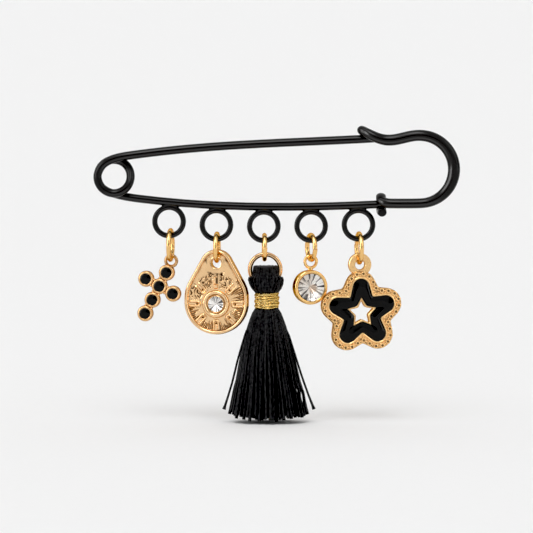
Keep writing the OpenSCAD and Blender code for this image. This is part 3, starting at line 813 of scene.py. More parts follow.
def cup_joint(one, other):
    """A web and two small beads where two neighbouring cups meet."""
    at = Vector((one[0] + other[0], -one[1] - other[1], 0)) * CROSS.pitch / 2
    along = Vector((other[0] - one[0], one[1] - other[1], 0))
    side = Vector((-along.y, along.x, 0))
    bpy.ops.mesh.primitive_cube_add(size=1)
    web = bpy.context.object
    web.data.transform(Matrix.Diagonal((1.5, 1.5, 0.9, 1)))
    edit(web, "SELECT")
    bpy.ops.mesh.bevel(offset=0.15, segments=2, affect="EDGES")
    close()
    web.data.transform(Matrix.Translation(at - Vector((0, 0, 0.25))))
    pieces = [web]
    for hand in (-1, 1):
        bead = grain(0.3, subdivisions=3)
        bead.data.transform(Matrix.Translation(at + side * hand * 0.75 + Vector((0, 0, 0.42))))
        pieces.append(bead)
    return pieces


class BROOCH_OT_cross(bpy.types.Operator):
    """Cross of six enamelled cups"""

    bl_idname = "brooch.cross"
    bl_label = "Cross charm"

    def execute(self, context):
        place = cross_place()
        r, h, e = CROSS.cup_r, CROSS.half_t, CROSS.enamel_r
        bed = h - CROSS.bed
        cup = spun("cross_cup", [
            (0, -h), (r - 0.35, -h), (r - 0.12, 0.1 - h), (r - 0.02, 0.35 - h), (r, h - 0.55),
            (r - 0.04, h - 0.3), (r - 0.16, h - 0.1), (r - 0.32, h), (e + 0.12, h), (e + 0.03, h - 0.05),
            (e + 0.01, bed), (0, bed),
        ], 40)
        pieces = [copied(cup, cup_shift(k)) for k in range(len(CROSS.cups))]
        bpy.data.objects.remove(cup)
        eye = torus(CROSS.eye_r + CROSS.eye_wire, CROSS.eye_wire, 48, 16)
        eye.data.transform(moved(*CROSS.eye))
        pieces.append(eye)
        for one, other in CROSS.meets:
            pieces += cup_joint(CROSS.cups[one], CROSS.cups[other])
        looks = context.scene.brooch_golds
        # Below the raised rims the cups are darker in flecks: painted shade
        gold = cast_gold("peach_gold_plated_cast_zinc", looks.cups, looks.patina, h - 0.1, 0.1, 0.3, 0.22)
        finish(joined("cross_cups", pieces), "brooch", gold, ["cross_frame"], place)
        enamel = black_enamel()
        # The enamel stands in a dome on the cup's bed
        dome, foot, low = 0.2, h - 0.1, bed + 0.02
        profile = [(0, low), (e, low)]
        profile += [(e * math.cos(a), foot + dome * math.sin(a)) for a in (0, 0.35, 0.7, 1.05, 1.35)]
        profile += [(0, foot + dome)]
        for k in range(len(CROSS.cups)):
            disc = spun(f"cross_dot_{k + 1}", profile, 40)
            disc.data.transform(cup_shift(k))
            finish(disc, "brooch", enamel, [f"cross_enamel_{k + 1}"], place, angle=60)
        return {"FINISHED"}


# Stones


def make_stone(name, node, diameter, crown, pavilion, folds, shift, place, zones=1, glow=(9, 9, 0)):
    """A brilliant with its table up, and the foil that lies behind its pavilion."""
    r = diameter / 2
    band = 0.04 * r
    half_step = math.pi / folds
    bpy.ops.mesh.primitive_circle_add(vertices=2 * folds, radius=r, fill_type="NOTHING")
    stone = bpy.context.object
    points = circle(folds, 0.56 * r, crown) + circle(folds, 0.8 * r, 0.6 * crown, half_step)
    points += circle(2 * folds, r, band) + circle(2 * folds, r, -band)
    points += circle(folds, 0.5 * r, -0.5 * pavilion, half_step) + [(0, 0, -pavilion)]
    form = bmesh.new()
    for point in points:
        form.verts.new(point)
    bmesh.ops.convex_hull(form, input=form.verts)
    form.to_mesh(stone.data)
    form.free()
    stone.name = name
    edit(stone, "SELECT")
    bpy.ops.mesh.dissolve_limited(angle_limit=math.radians(0.5))
    close_outwards()
    stone.data.transform(shift)
    foil = copied(stone, Matrix.Identity(4))
    foil.name = name + "_foil"
    edit(foil)
    low = shift.translation.z - band / 2
    pick_faces(foil, lambda face: sum(v.co.z for v in face.verts) / len(face.verts) > low)
    bpy.ops.mesh.delete(type="FACE")
    close()
    foil_t = 0.04
    foil.data.transform(moved(z=-foil_t))
    modify(foil, "SOLIDIFY", thickness=foil_t, offset=1)
    finish(stone, "brooch", cut_glass(), [node], place, angle=1)
    silver = silver_foil(f"silver_foil_of_{node}", shift.translation, r, zones, glow)
    finish(foil, "brooch", silver, (), place, angle=1)


# Teardrop charm


class DROP:
    """Sizes of the teardrop in millimetres, from the middle of its eye"""

    centre_y = -8.54
    setting_y = -8.93
    # The setting's middle from the middle of the low circle, round which the charm is drawn
    stone_y = setting_y - centre_y
    r = 7.03
    high_y = 0.9
    top_r = 3.63
    top_y = 7.87
    half_t = 1.2
    field = 0.75
    eye_r = 1.12
    eye_depth = 1.5
    stone_d = 3.5
    # Points round a section, and rows of points from the rim's foot to the setting
    around = 420
    rows = 72


def drop_depth(x, y):
    """How deep a point lies inside the teardrop's outline, from the middle of its low circle."""
    low = DROP.r - math.hypot(x, y - min(max(y, 0), DROP.high_y))
    y, rise = y - DROP.high_y, DROP.top_y - DROP.high_y
    slope = (DROP.r - DROP.top_r) / rise
    flat = math.sqrt(1 - slope**2)
    along = y * flat - abs(x) * slope
    if along < 0:
        high = DROP.r - math.hypot(x, y)
    elif along > flat * rise:
        high = DROP.top_r - math.hypot(x, y - rise)
    else:
        high = DROP.r - abs(x) * flat - y * slope
    return max(low, high)


def drop_section(inset, height):
    """The outline at an inset, in even steps of angle round the stone."""
    # The outline lies between these distances from the stone, and each halving closes in on it
    nearest, farthest, halvings = 1.0, 18.0, 24
    points = []
    for across, up, _ in circle(DROP.around, 1, 0):
        low, high = nearest, farthest
        for _ in range(halvings):
            half = (low + high) / 2
            inside = drop_depth(half * across, DROP.stone_y + half * up) > inset
            low, high = (half, high) if inside else (low, half)
        points.append(Vector((low * across, DROP.stone_y + low * up, height)))
    return points


def ray_relief(x, y):
    """Rise, patina and painted shadow of the rays, and how clear of them a place is: 0 on a ray, 1 beside them.
    """
    rise, darkening, clear = 0, 0, 1.0
    for k in (0, 1, 3, 4, 5, 6, 7):
        b = math.radians(45 * k)
        u, v = x * math.cos(b) + y * math.sin(b), y * math.cos(b) - x * math.sin(b)
        if not 3.1 < u < 6.6 or abs(v) > 1.2:
            continue
        # A raised wall bent to a U, open towards the rim
        wall_d = abs(abs(v) - 0.5) if u > 4.1 else abs((abs(v) ** 3 + (4.1 - u) ** 3) ** (1 / 3) - 0.5)
        open_end = fall(5.6, 6.15, u)
        wall = max(0, 1 - (wall_d / 0.28) ** 2) ** 1.5 * open_end
        pit = bell(u - 4.25, 0.2) * bell(v, 0.17)
        rise += 0.22 * wall - 0.3 * pit - (0.06 if abs(v) < 0.3 and u > 3.9 else 0)
        outside = abs(v) > 0.5 or u < 3.7
        # A painted shadow runs along the outer foot of each wall
        darkening += 0.9 * pit - 0.3 * wall + 0.35 * outside * bell(wall_d - 0.28, 0.07) * open_end
        clear = min(clear, step(0.62, 0.85, abs(v)) if u > 3.5 else 1)
    return rise, darkening, clear


def curled_cuts(x, y, r, a):
    """Depth and patina of the curled cuts on both sides of the top mark."""
    curl = 1.7 * ripple(x * 0.55, y * 0.55, 9) + 0.45 * abs(x) + 0.2 * y
    line = step(0.0, 0.6, math.cos(math.tau * curl / 0.52)) * step(-0.4, 0.0, ripple(x * 1.7, y * 1.7, 1))
    line *= step(3.4, 3.9, r) * fall(6.2, 6.9, r) * step(0.65, 1.1, abs(x))
    line *= step(50, 58, a) * fall(158, 176, a)
    return 0.15 * line, 0.9 * line


def rim_teeth(x, y, r, a, inset):
    """Depth and patina of the teeth cut inwards from the rim, about 0.4 mm apart."""
    tooth = a / 4.1 + 0.25 * ripple(x, y, 8)
    number = math.floor(tooth)
    line = min(1, max(0, 1.5 * (1 - 1.25 * abs(2 * (tooth - number) - 1))))
    length = noise.cell(Vector((number + 0.5, 4.5, 0.5)))
    line *= step(4.1 + 1.3 * length, 5.0 + 0.6 * length, r) * fall(0.2, 0.45, 1.1 - inset)
    return 0.17 * line, (0.75 + 0.25 * length) * line


def top_mark(x, y):
    """Rise and patina of the mark above the stone: a block, a slab that is half dark and a stroke."""
    block = fall(0.35, 0.5, abs(x)) * fall(0.35, 0.5, abs(y - 3.85))
    slab = fall(0.4, 0.5, abs(x)) * step(4.35, 4.5, y) * fall(5.75, 5.95, y)
    stroke = fall(1.3, 1.75, abs(x)) * fall(0.25, 0.55, abs(y - 6.35 - 0.12 * x * x))
    ragged = step(-0.12, 0.16, ripple(x * 2.1, y * 3.0, 7))
    # Two cuts run from its ends down to the slab
    cut = bell(abs(x) - 1.0 - 0.45 * (y - 5.4), 0.13) * step(5.0, 5.3, y) * fall(6.9, 7.4, y)
    rise = 0.28 * block + 0.22 * slab * fall(-0.05, 0.1, x) - 0.1 * stroke * ragged - 0.1 * cut
    darkening = 0.85 * slab * step(-0.1, 0.05, x) + stroke * (0.18 + 0.72 * ragged) + 0.55 * cut
    return rise, darkening


def drop_relief(x, y):
    """Rise of the field above its flat, and its share of patina and painted shadow, at a place from the stone.
    """
    r, a = math.hypot(x, y), math.degrees(math.atan2(y, x)) % 360
    wave = ripple(x * 0.5, y * 0.5, 2)
    inset = drop_depth(x, y + DROP.stone_y)
    rim_foot = bell(inset - 0.95, 0.1)
    rise, darkening, clear = ray_relief(x, y)
    depth, dark = curled_cuts(x, y, r, a) if 50 < a <= 180 else rim_teeth(x, y, r, a, inset)
    mark_rise, mark_stain = top_mark(x, y)
    rise += 0.03 * (wave - rim_foot) - depth * clear + mark_rise
    darkening += 0.02 + 0.04 * wave + 0.5 * rim_foot * step(-0.3, 0.5, ripple(x * 0.8, y * 0.8, 5))
    darkening += dark * clear + mark_stain
    # Rubbed patina beside the eye
    from_eye = math.hypot(x, y + DROP.setting_y)
    shoulder = step(1.5, 2.0, from_eye) * fall(2.2, 3.2, from_eye) * step(8.2, 9.4, y)
    darkening += 0.7 * shoulder * step(-0.1, 0.4, ripple(x * 2.1, y * 1.1, 3))
    return rise, min(1, max(0, darkening))


def drop_plate():
    """The teardrop's plate, with its rim, the relief of its field and the hole of its eye."""
    h, field, stone_y = DROP.half_t, DROP.field, DROP.stone_y
    # From the back over the side to the rim and down to the field: inset and height
    edge = [
        (0.45, -h), (0.2, 0.06 - h), (0.05, 0.2 - h), (0, 0.45 - h), (0, h - 0.5), (0.05, h - 0.25),
        (0.17, h - 0.08), (0.34, h), (0.5, h - 0.01), (0.66, h - 0.1), (0.78, h - 0.26), (0.86, field + 0.03),
    ]
    sections = [drop_section(inset, z) for inset, z in edge]
    foot = [Vector((p.x, p.y - stone_y)) for p in drop_section(0.9, field)]
    # The field runs from the rim's foot in to the setting, which covers its edge
    setting_foot = 2.6
    for row in range(DROP.rows + 1):
        section = []
        for out in foot:
            at = out.lerp(out.normalized() * setting_foot, row / DROP.rows)
            section.append((at.x, at.y + stone_y, field + drop_relief(at.x, at.y)[0] * step(0, 2, row)))
        sections.append(section)
    for z in (0.6, 0.15):
        sections.append(circle(DROP.around, 2.0, z, centre=(0, stone_y)))
    plate = lofted("teardrop_plate_form", sections)
    bpy.ops.mesh.primitive_cylinder_add(radius=DROP.eye_r, depth=6, vertices=48)
    drill = bpy.context.object
    drill.data.transform(moved(y=-DROP.centre_y))
    modify(plate, "BOOLEAN", object=drill, operation="DIFFERENCE", solver="EXACT")
    bpy.data.objects.remove(drill)

    def patina_and_painted_reflection_at(p):
        """The field holds its own patina; the right wall a painted dark reflection, but for a gap where a
        bright one falls.
        """
        if field - 0.35 < p.z < field + 0.4 and drop_depth(p.x, p.y) > 0.88:
            return drop_relief(p.x, p.y - stone_y)[1]
        wall = 0.3 - h < p.z < h - 0.2 and p.x > 0
        return 0.97 * wall * fall(4.6, 6.0, p.y) * step(1.2, 1.35, abs(p.y - 0.5))

    return stained_and_painted_dark(plate, patina_and_painted_reflection_at)


class BROOCH_OT_teardrop(bpy.types.Operator):
    """Teardrop with a raised rim, marks round its field and a round stone"""

    bl_idname = "brooch.teardrop"
    bl_label = "Teardrop charm"

    def execute(self, context):
        turn = context.scene.brooch_charms.drop_turn
        place = hang_place(2, turn, -0.05, DROP.eye_r + 0.03, DROP.eye_depth) @ moved(y=DROP.centre_y)
        h, field, eye_r = DROP.half_t, DROP.field, DROP.eye_r
        plate = drop_plate()
        lip = spun("teardrop_eye_lip", [
            (eye_r, -0.3), (eye_r + 0.34, -0.3), (eye_r + 0.3, 0.06), (eye_r + 0.16, 0.14),
            (eye_r + 0.02, 0.07),
        ], 48)
        stained_and_painted_dark(lip, 0.3)
        lip.data.transform(moved(y=-DROP.centre_y, z=field))
        setting = spun("teardrop_setting", [
            (1.3, 0.35), (3.05, 0.35), (3.03, field + 0.12), (2.96, h - 0.1), (2.84, h + 0.1),
            (2.65, h + 0.2), (2.4, h + 0.2), (2.22, h + 0.1), (2.12, h - 0.08), (2.02, h - 0.14),
            (1.92, h - 0.08), (1.82, h), (1.74, h - 0.02), (1.68, h - 0.16), (1.6, h - 0.5), (1.3, h - 0.75),
        ], 64)
        # A painted shadow lies in the setting's groove, as a dark line
        stained_and_painted_dark(setting, lambda p: 0.6 * bell(math.hypot(p.x, p.y) - 2.03, 0.1) * (p.z > h - 0.3))
        setting.data.transform(moved(y=DROP.stone_y))
        whole = joined("teardrop_plate_gold", [plate, lip, setting])
        finish(whole, "brooch", hatched_gold(), ["teardrop_plate"], place)
        shift = moved(y=DROP.stone_y, z=h - 0.14)
        make_stone("teardrop_brilliant", "teardrop_stone", DROP.stone_d, 0.32, 0.55, 14, shift, place)
        return {"FINISHED"}


# Crystal charm


class CRYSTAL:
    """Sizes of the crystal charm in millimetres, from the middle of its eye"""

    centre_y = -5.54
    r = 3.775
    half_t = 1.35
    stone_d = 6.2
    eye_r = 1.0
    eye_wire = 0.33
    # Where a painted reflection of the bezel's gold lies on the stone's foil, from its middle
    glow = (0.65, -0.35, 0)


class BROOCH_OT_crystal(bpy.types.Operator):
    """Round crystal in a polished bezel"""

    bl_idname = "brooch.crystal"
    bl_label = "Crystal charm"

    def execute(self, context):
        sizes = context.scene.brooch_charms
        hung = hang_place(4, sizes.crystal_turn, -0.1, CRYSTAL.eye_r, 2 * CRYSTAL.eye_wire)
        place = hung @ turned(-sizes.crystal_lean)
        r, h = CRYSTAL.r, CRYSTAL.half_t
        seat = CRYSTAL.stone_d / 2 + 0.03
        cup = spun("crystal_cup", [
            (0.9, -h), (r - 0.7, -h), (r - 0.4, 0.08 - h), (r - 0.18, 0.3 - h), (r - 0.06, 0.8 - h),
            (r, h - 0.75), (r, h - 0.45), (r - 0.04, h - 0.25), (r - 0.14, h - 0.08), (r - 0.3, h),
            (seat + 0.14, h - 0.02), (seat - 0.04, h - 0.1), (seat - 0.14, h - 0.2), (seat - 0.02, h - 0.5),
            (seat, h - 0.8), (0.9, h - 2.3),
        ], 72)

        def painted_reflection_and_shade_at(p):
            """A painted reflection darkens the wall's left, black in two places; thin painted shade by the
            stone.
            """
            wall = p.x < -2.2 and 0.6 - h < p.z < h - 0.5 and p.y < 2.4
            black = step(-0.8, 0, p.y) * fall(1.2, 2.0, p.y) + fall(-2.6, -2.0, p.y)
            return (0.6 + 0.4 * black) * wall + 0.45 * (p.z > h - 0.3 and math.hypot(p.x, p.y) < seat)

        stained_and_painted_dark(cup, painted_reflection_and_shade_at)
        cup.data.transform(moved(y=CRYSTAL.centre_y))
        eye = torus(CRYSTAL.eye_r + CRYSTAL.eye_wire, CRYSTAL.eye_wire, 56, 16)
        # A neck that widens downwards joins the eye to the cup
        bpy.ops.mesh.primitive_cylinder_add(vertices=24, radius=0.4, depth=0.9)
        neck = bpy.context.object
        edit(neck)
        pick_faces(neck, lambda face: face.normal.z < -0.9)
        bpy.ops.transform.resize(value=(1.9, 1.1, 1))
        close()
        neck.data.transform(Matrix.Rotation(-math.radians(90), 4, "X"))
        neck.data.transform(moved(y=-CRYSTAL.eye_r - 0.8))
        whole = joined("crystal_bezel_gold", [cup, eye, neck])
        finish(whole, "brooch", polished_gold(charm=True), ["crystal_bezel"], place)
        shift = moved(y=CRYSTAL.centre_y, z=h - 0.62)
        make_stone(
            "crystal_brilliant", "crystal_stone", CRYSTAL.stone_d, 0.58, 1.1, 16, shift, place,
            zones=2, glow=CRYSTAL.glow,
        )
        return {"FINISHED"}


# Star charm


class STAR:
    """Sizes of the star in millimetres. A line is its tip radius, notch radius and rounding"""

    centre_y = -10.5
    outer = (9.15, 6.64, 3.3)
    grains = (8.6, 5.9, 2.75)
    lip = (7.84, 4.66, 2.2)
    enamel = (7.52, 4.25, 1.9)
    rim = (3.45, 2.05, 0.3)
    hole = (2.65, 1.4, 0.12)
    half_t = 0.95
    bed = 0.6
    grain_count = 37
    grain_r = 0.38
    eye_r = 1.1
    eye_out_r = 2.5
    eye_depth = 1.3


def star_outline(line, inset=0):
    """A five-pointed star with round tips and softened notches."""
    # How far the softening reaches from a notch, and the steps on a tip's arc
    soft, steps = 0.4, 10
    tip, notch, r = line[0] - inset, line[1] - inset, max(line[2] - inset, 0.05)
    centre = tip - r
    fifth = math.radians(36)
    to_notch = Vector((notch * math.cos(fifth) - centre, notch * math.sin(fifth)))
    spread = math.degrees(math.atan2(to_notch.y, to_notch.x) - math.acos(r / to_notch.length))
    points = []
    for k in range(5):
        turn = 90 + 72 * k
        tip_middle = (centre * math.cos(math.radians(turn)), centre * math.sin(math.radians(turn)))
        tip_arc = arc(tip_middle, r, turn - spread, turn + spread, steps)
        low = math.radians(turn + 36)
        corner = Vector((notch * math.cos(low), notch * math.sin(low)))
        before = corner + (tip_arc[-1] - corner).normalized() * soft
        mirrored = 2 * corner.dot(corner) ** -1 * corner.dot(before) * corner - before
        points += tip_arc
        for t in (0, 0.25, 0.5, 0.75, 1):
            points.append((1 - t) ** 2 * before + 2 * t * (1 - t) * corner + t**2 * mirrored)
    return points


def star_border():
    """The grained border: punched rings and small beads in turn, and smaller beads along the enamel's lip."""
    h = STAR.half_t
    # A punched ring with a dark pit
    ring = torus(STAR.grain_r, 0.17, 18, 8)
    stained_and_painted_dark(ring, lambda p: 0.5 if math.hypot(p.x, p.y) < STAR.grain_r - 0.05 else -0.6)
    pit = stained_and_painted_dark(grain(0.19), 0.8)
    pit.data.transform(Matrix.Diagonal((1, 1, 0.5, 1)))
    punch = joined("star_punch", [ring, pit])
    bead = stained_and_painted_dark(grain(0.24), -0.6)
    line, lip_line = star_outline(STAR.grains), star_outline(STAR.lip, -0.3)
    count = len(line)
    lengths = [(line[(i + 1) % count] - p).length for i, p in enumerate(line)]
    half_step = sum(lengths) / STAR.grain_count / 2
    left, number = half_step / 2, 0
    pieces = []
    for i, size in enumerate(lengths):
        following = (i + 1) % count
        while left <= size:
            at = line[i].lerp(line[following], left / size)
            form, lift = (punch, 0) if number % 2 else (bead, -0.04)
            pieces.append(copied(form, moved(at.x, at.y, h + lift)))
            inner = lip_line[i].lerp(lip_line[following], left / size)
            pieces.append(copied(bead, moved(inner.x, inner.y, h - 0.06)))
            left += half_step
            number += 1
        left -= size
    bpy.data.objects.remove(punch)
    bpy.data.objects.remove(bead)
    return pieces


class BROOCH_OT_star(bpy.types.Operator):
    """Star with a grained border, black enamel and a star-shaped hole"""

    bl_idname = "brooch.star"
    bl_label = "Star charm"

    def execute(self, context):
        sizes = context.scene.brooch_charms
        hung = hang_place(5, sizes.star_turn, 0.1, STAR.eye_r, STAR.eye_depth)
        place = hung @ turned(sizes.star_lean) @ moved(y=STAR.centre_y)
        h, bed = STAR.half_t, STAR.half_t - STAR.bed
        # Once round the body, from the hole over the back and the border to the bed: line, inset, height
        rows = [
            (STAR.hole, 0, -h + 0.1), (STAR.rim, 0.3, -h), (STAR.outer, 0.5, -h),
            (STAR.outer, 0.12, -h + 0.12), (STAR.outer, 0, -h + 0.4), (STAR.outer, 0, h - 0.35),
            (STAR.outer, 0.05, h - 0.18), (STAR.outer, 0.14, h - 0.08), (STAR.outer, 0.24, h - 0.06),
            (STAR.outer, 0.34, h - 0.13), (STAR.grains, 0, h - 0.14), (STAR.lip, -0.16, h - 0.1),
            (STAR.lip, 0, h + 0.06), (STAR.lip, 0.16, h + 0.1), (STAR.enamel, 0, h + 0.02),
            (STAR.enamel, 0, bed), (STAR.rim, 0.18, bed), (STAR.rim, 0.2, h - 0.04),
            (STAR.rim, 0.3, h + 0.06), (STAR.hole, -0.12, h + 0.06), (STAR.hole, 0, h - 0.05),
        ]
        sections = [raised(star_outline(line, inset), z) for line, inset, z in rows]
        body = lofted("star_body", sections, ring=True)
        # Patina lies in the groove under the grains
        stained_and_painted_dark(body, lambda p: 0.6 if h - 0.25 < p.z < h - 0.12 else -0.5)
        inner, outer = STAR.eye_r, STAR.eye_out_r
        washer = spun("star_eye", [
            (inner, -0.55), (inner + 0.1, -0.65), (outer - 0.15, -0.65), (outer, -0.5),
            (outer, 0.5), (outer - 0.15, 0.65), (inner + 0.1, 0.65), (inner, 0.55),
        ], 56)
        stained_and_painted_dark(washer, -0.62)
        washer.data.transform(moved(y=-STAR.centre_y))
        whole = joined("star_gold", [body, washer, *star_border()])
        matte = context.scene.brooch_golds.matte
        gold = cast_gold("matte_gold_plated_cast_zinc", matte, "#5E3A1A", h + 0.02, h - 0.16, 0.3, 0.28)
        finish(whole, "brooch", gold, ["star_frame"], place)
        # The enamel swells between its gold line and the inner star
        gap, swell, rings = 0.02, 0.42, 12
        outside, inside = star_outline(STAR.enamel, gap), star_outline(STAR.rim, 0.2 - gap)
        sections = [raised(inside, bed + gap), raised(outside, bed + gap)]
        for i in range(rings + 1):
            t = i / rings
            height = h - 0.04 + swell * math.sin(math.pi * t) * (1 - 0.3 * t)
            sections.append([(*a.lerp(b, t), height) for a, b in zip(outside, inside)])
        enamel = lofted("star_enamel_pool", sections, ring=True)
        finish(enamel, "brooch", black_enamel(), ["star_enamel"], place, angle=40)
        return {"FINISHED"}


# Tassel

# The head of the tassel: height from the ring's middle, half width and half depth, in millimetres
HEAD_ROWS = (
    (0.5, 2.95, 1.5), (0.3, 2.98, 2.1), (-0.2, 3.0, 2.6), (-0.95, 3.05, 2.85), (-1.3, 3.22, 2.9),
    (-1.75, 3.6, 2.95), (-2.3, 3.76, 2.95), (-3.2, 3.56, 2.9), (-4.1, 3.12, 2.75), (-4.8, 2.5, 2.4),
    (-5.4, 2.25, 2.25),
)

# The top of the threads that are folded over the ring, above the ring's middle
HEAD_TOP = 0.85

# The hem of the skirt at its sides, from the ring's middle. It is 1 mm lower at the front and the back
HEM = -31.2

# The dark body under the threads: height from the ring's middle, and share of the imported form's width
CORE_ROWS = (
    (0.6, 0.55), (0, 0.75), (-1, 0.84), (-3.3, 0.84), (-4.9, 0.8),
    (-8.7, 0.8), (-12, 0.75), (-18, 0.62), (-24, 0.5),
)

# The layers under the skirt's outer one: name, share of its width, threads, and seed of their random places
LAYERS = (("middle", 0.88, 56, 2), ("inner", 0.74, 48, 3), ("core", 0.5, 44, 4))

# The flare of the skirt: height from the ring's middle, share of the form's width, and shift to the right
FLARE = ((-6, 1, 0), (-11, 0.975, 0.05), (-17.6, 0.91, 0.13), (-24.1, 0.886, 0.34), (-33, 0.985, 0.5))

# Slits between the threads of the skirt: place to the right at its middle, height, half length and gap
SLITS = ((7.85, -27.5, 1.9, 0.34), (6.9, -26.4, 1.1, 0.3))

# Slack turns of the gold thread: lift off the neck, start and end as shares of the band's height, rounds
SLACK = ((0.1, 0.1, 0.75, 2.6), (0.12, 0.95, 0.35, 2.2), (0.14, 0.5, 0.08, 1.7), (0.16, 0.25, 0.9, 2.1))

# The two stray threads: height, place of the left and the right one, and share of the thread's radius
STRAYS = (
    (-13.2, -4.0, 4.6, 0.8), (-14.48, -4.45, 5.2, 0.8), (-17.13, -5.25, 6.04, 0.8),
    (-19.78, -6.0, 6.86, 0.8), (-22.43, -6.63, 7.7, 0.8), (-25.08, -7.3, 8.6, 0.8),
    (-27.73, -8.1, 9.56, 0.8), (-29.7, -8.72, 10.34, 0.95), (-30.5, -8.97, 10.62, 1.4),
)


def tassel_form():
    """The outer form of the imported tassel: height, middle, half width and half depth of each of its rows."""
    ring_low, ring_high = box_mm("tassel_ring")
    centre = (ring_low + ring_high) / 2
    levels = {}
    for vertex in frame["nodes"]["tassel_thread"].data.vertices:
        at = vertex.co / MM - centre
        levels.setdefault(round(at.z, 2), set()).add((round(at.x, 3), round(at.y, 3)))
    rows = []
    for height, points in sorted(levels.items(), reverse=True):
        # Every full row of the form has at least this many points
        if len(points) >= 40:
            xs, ys = [x for x, y in points], [y for x, y in points]
            rows.append((height, (max(xs) + min(xs)) / 2, (max(xs) - min(xs)) / 2, (max(ys) - min(ys)) / 2))
    return centre, rows


def form_at(rows, height):
    """A row's values at a height between the rows, drawn on past the ends."""
    for upper, lower in zip(rows, rows[1:]):
        if height >= lower[0] or lower is rows[-1]:
            t = (height - upper[0]) / (lower[0] - upper[0])
            return [a + (b - a) * t for a, b in zip(upper[1:], lower[1:])]


def head_threads(form, thread_r, count):
    """Threads that come up the front of the head, over its flat top and down its back."""
    rng = random.Random(11)
    rows = [(z, form_at(form, z)[0], wide, deep) for z, wide, deep in HEAD_ROWS]
    paths = []
    for k in range(count):
        a = math.pi * (k + 0.5 + rng.uniform(-0.3, 0.3)) / count
        lean, sway, lift = 0.045, rng.uniform(-0.05, 0.05), rng.uniform(-0.06, 0.12)
        out = 0.75 * thread_r - lift
        front = []
        for z, mid, wide, deep in reversed(rows):
            angle = min(max(a - lean * (z + 2) + sway * math.sin(z * 1.1), 0.02), math.pi - 0.02)
            front.append((mid + (wide - out) * math.cos(angle), -(deep - out) * math.sin(angle), z))
        if abs(math.cos(a)) > 0.93:
            # The outermost threads turn in below the ring
            low = [p for p in front if p[2] < -1.5]
            paths += [low, [(x, -y, z) for x, y, z in low]]
            continue
        top = HEAD_TOP - thread_r + rng.uniform(-0.1, 0.1)
        x, y = front[-1][:2]
        over = [(x * 0.95 + 0.004, y * share, top) for share in (0.55, 0.2, -0.2, -0.55)]
        paths.append(front + over + [(x, -y, z) for x, y, z in reversed(front)])
    return wires("tassel_head", paths, thread_r)


def skirt_threads(form, thread_r, name, count, share, top, spread, seed):
    """One layer of threads that hang from the band, in locks, each cut at its own length."""
    rng = random.Random(seed)
    steps = 16
    paths = []
    for k in range(count):
        a = math.tau * (k + rng.uniform(-0.4, 0.4)) / count
        drift = rng.gauss(0, 0.07)
        wave = rng.uniform(0, math.tau)
        reach = share * rng.uniform(0.95, 1.02)
        end = HEM - abs(math.sin(a)) + rng.gauss(0, 0.35)
        path = []
        for i in range(steps + 1):
            t = i / steps
            z = top + (end - top) * t
            mid, wide, deep = form_at(form, z)
            angle = a + drift * t * spread + 0.012 * math.sin(wave + 7 * t)
            flare, aside = form_at(FLARE, z)
            s = reach * flare + 0.02 * math.cos(8 * angle) * t
            x = mid + aside + (wide * s - thread_r) * math.cos(angle)
            # Threads beside a slit's slanting line are pushed clear of it
            for line, height, half, gap in SLITS:
                room = (thread_r + gap / 2) * math.exp(-(((z - height) / half) ** 4))
                off = x - line - 0.2 * (height - z)
                x += math.copysign(max(0, room - abs(off)), off)
            # The cut end is a little frayed
            path.append((x, (deep * s - thread_r) * math.sin(angle), z, 1 if t < 0.96 else 1.15))
        paths.append(path)
    return wires(name, paths, thread_r)


def tassel_core(form):
    """The dark body of the tassel under its threads."""
    sections = []
    for z, share in CORE_ROWS:
        mid, wide, deep = form_at(form, z)
        sections.append(circle(32, wide * share, z, deep=deep * share, centre=(mid, 0)))
    return lofted("tassel_core", sections)


def band_threads(form, turns, low, high):
    """Gold thread wound round the neck, with slack turns across it."""
    rng = random.Random(8)
    span = high - low
    wire = span / turns / 2
    mid, wide, _ = form_at(form, low + 1)
    lines = [(0, low + wire, high - wire, turns - 1, 0)]
    for lift, start, end, rounds in SLACK:
        lines.append((lift, low + start * span, low + end * span, rounds, rng.uniform(0, math.tau)))
    paths = []
    for lift, start, end, rounds, phase in lines:
        steps = int(40 * rounds)
        path = []
        for i in range(steps + 1):
            t = i / steps
            a = math.tau * rounds * t + phase
            sway = noise.noise(Vector((math.cos(a), math.sin(a), rounds * t)) * 2.1)
            r = wide + wire * 0.95 + lift + 0.05 * sway
            z = start + (end - start) * t + 0.15 * sway
            z = min(max(z, low + 0.8 * wire), high - 0.8 * wire)
            path.append((mid + r * math.cos(a), r * math.sin(a), z, 1 + 0.3 * sway))
        paths.append(path)
    return wires("tassel_binding", paths, wire * 0.9, sides=10)


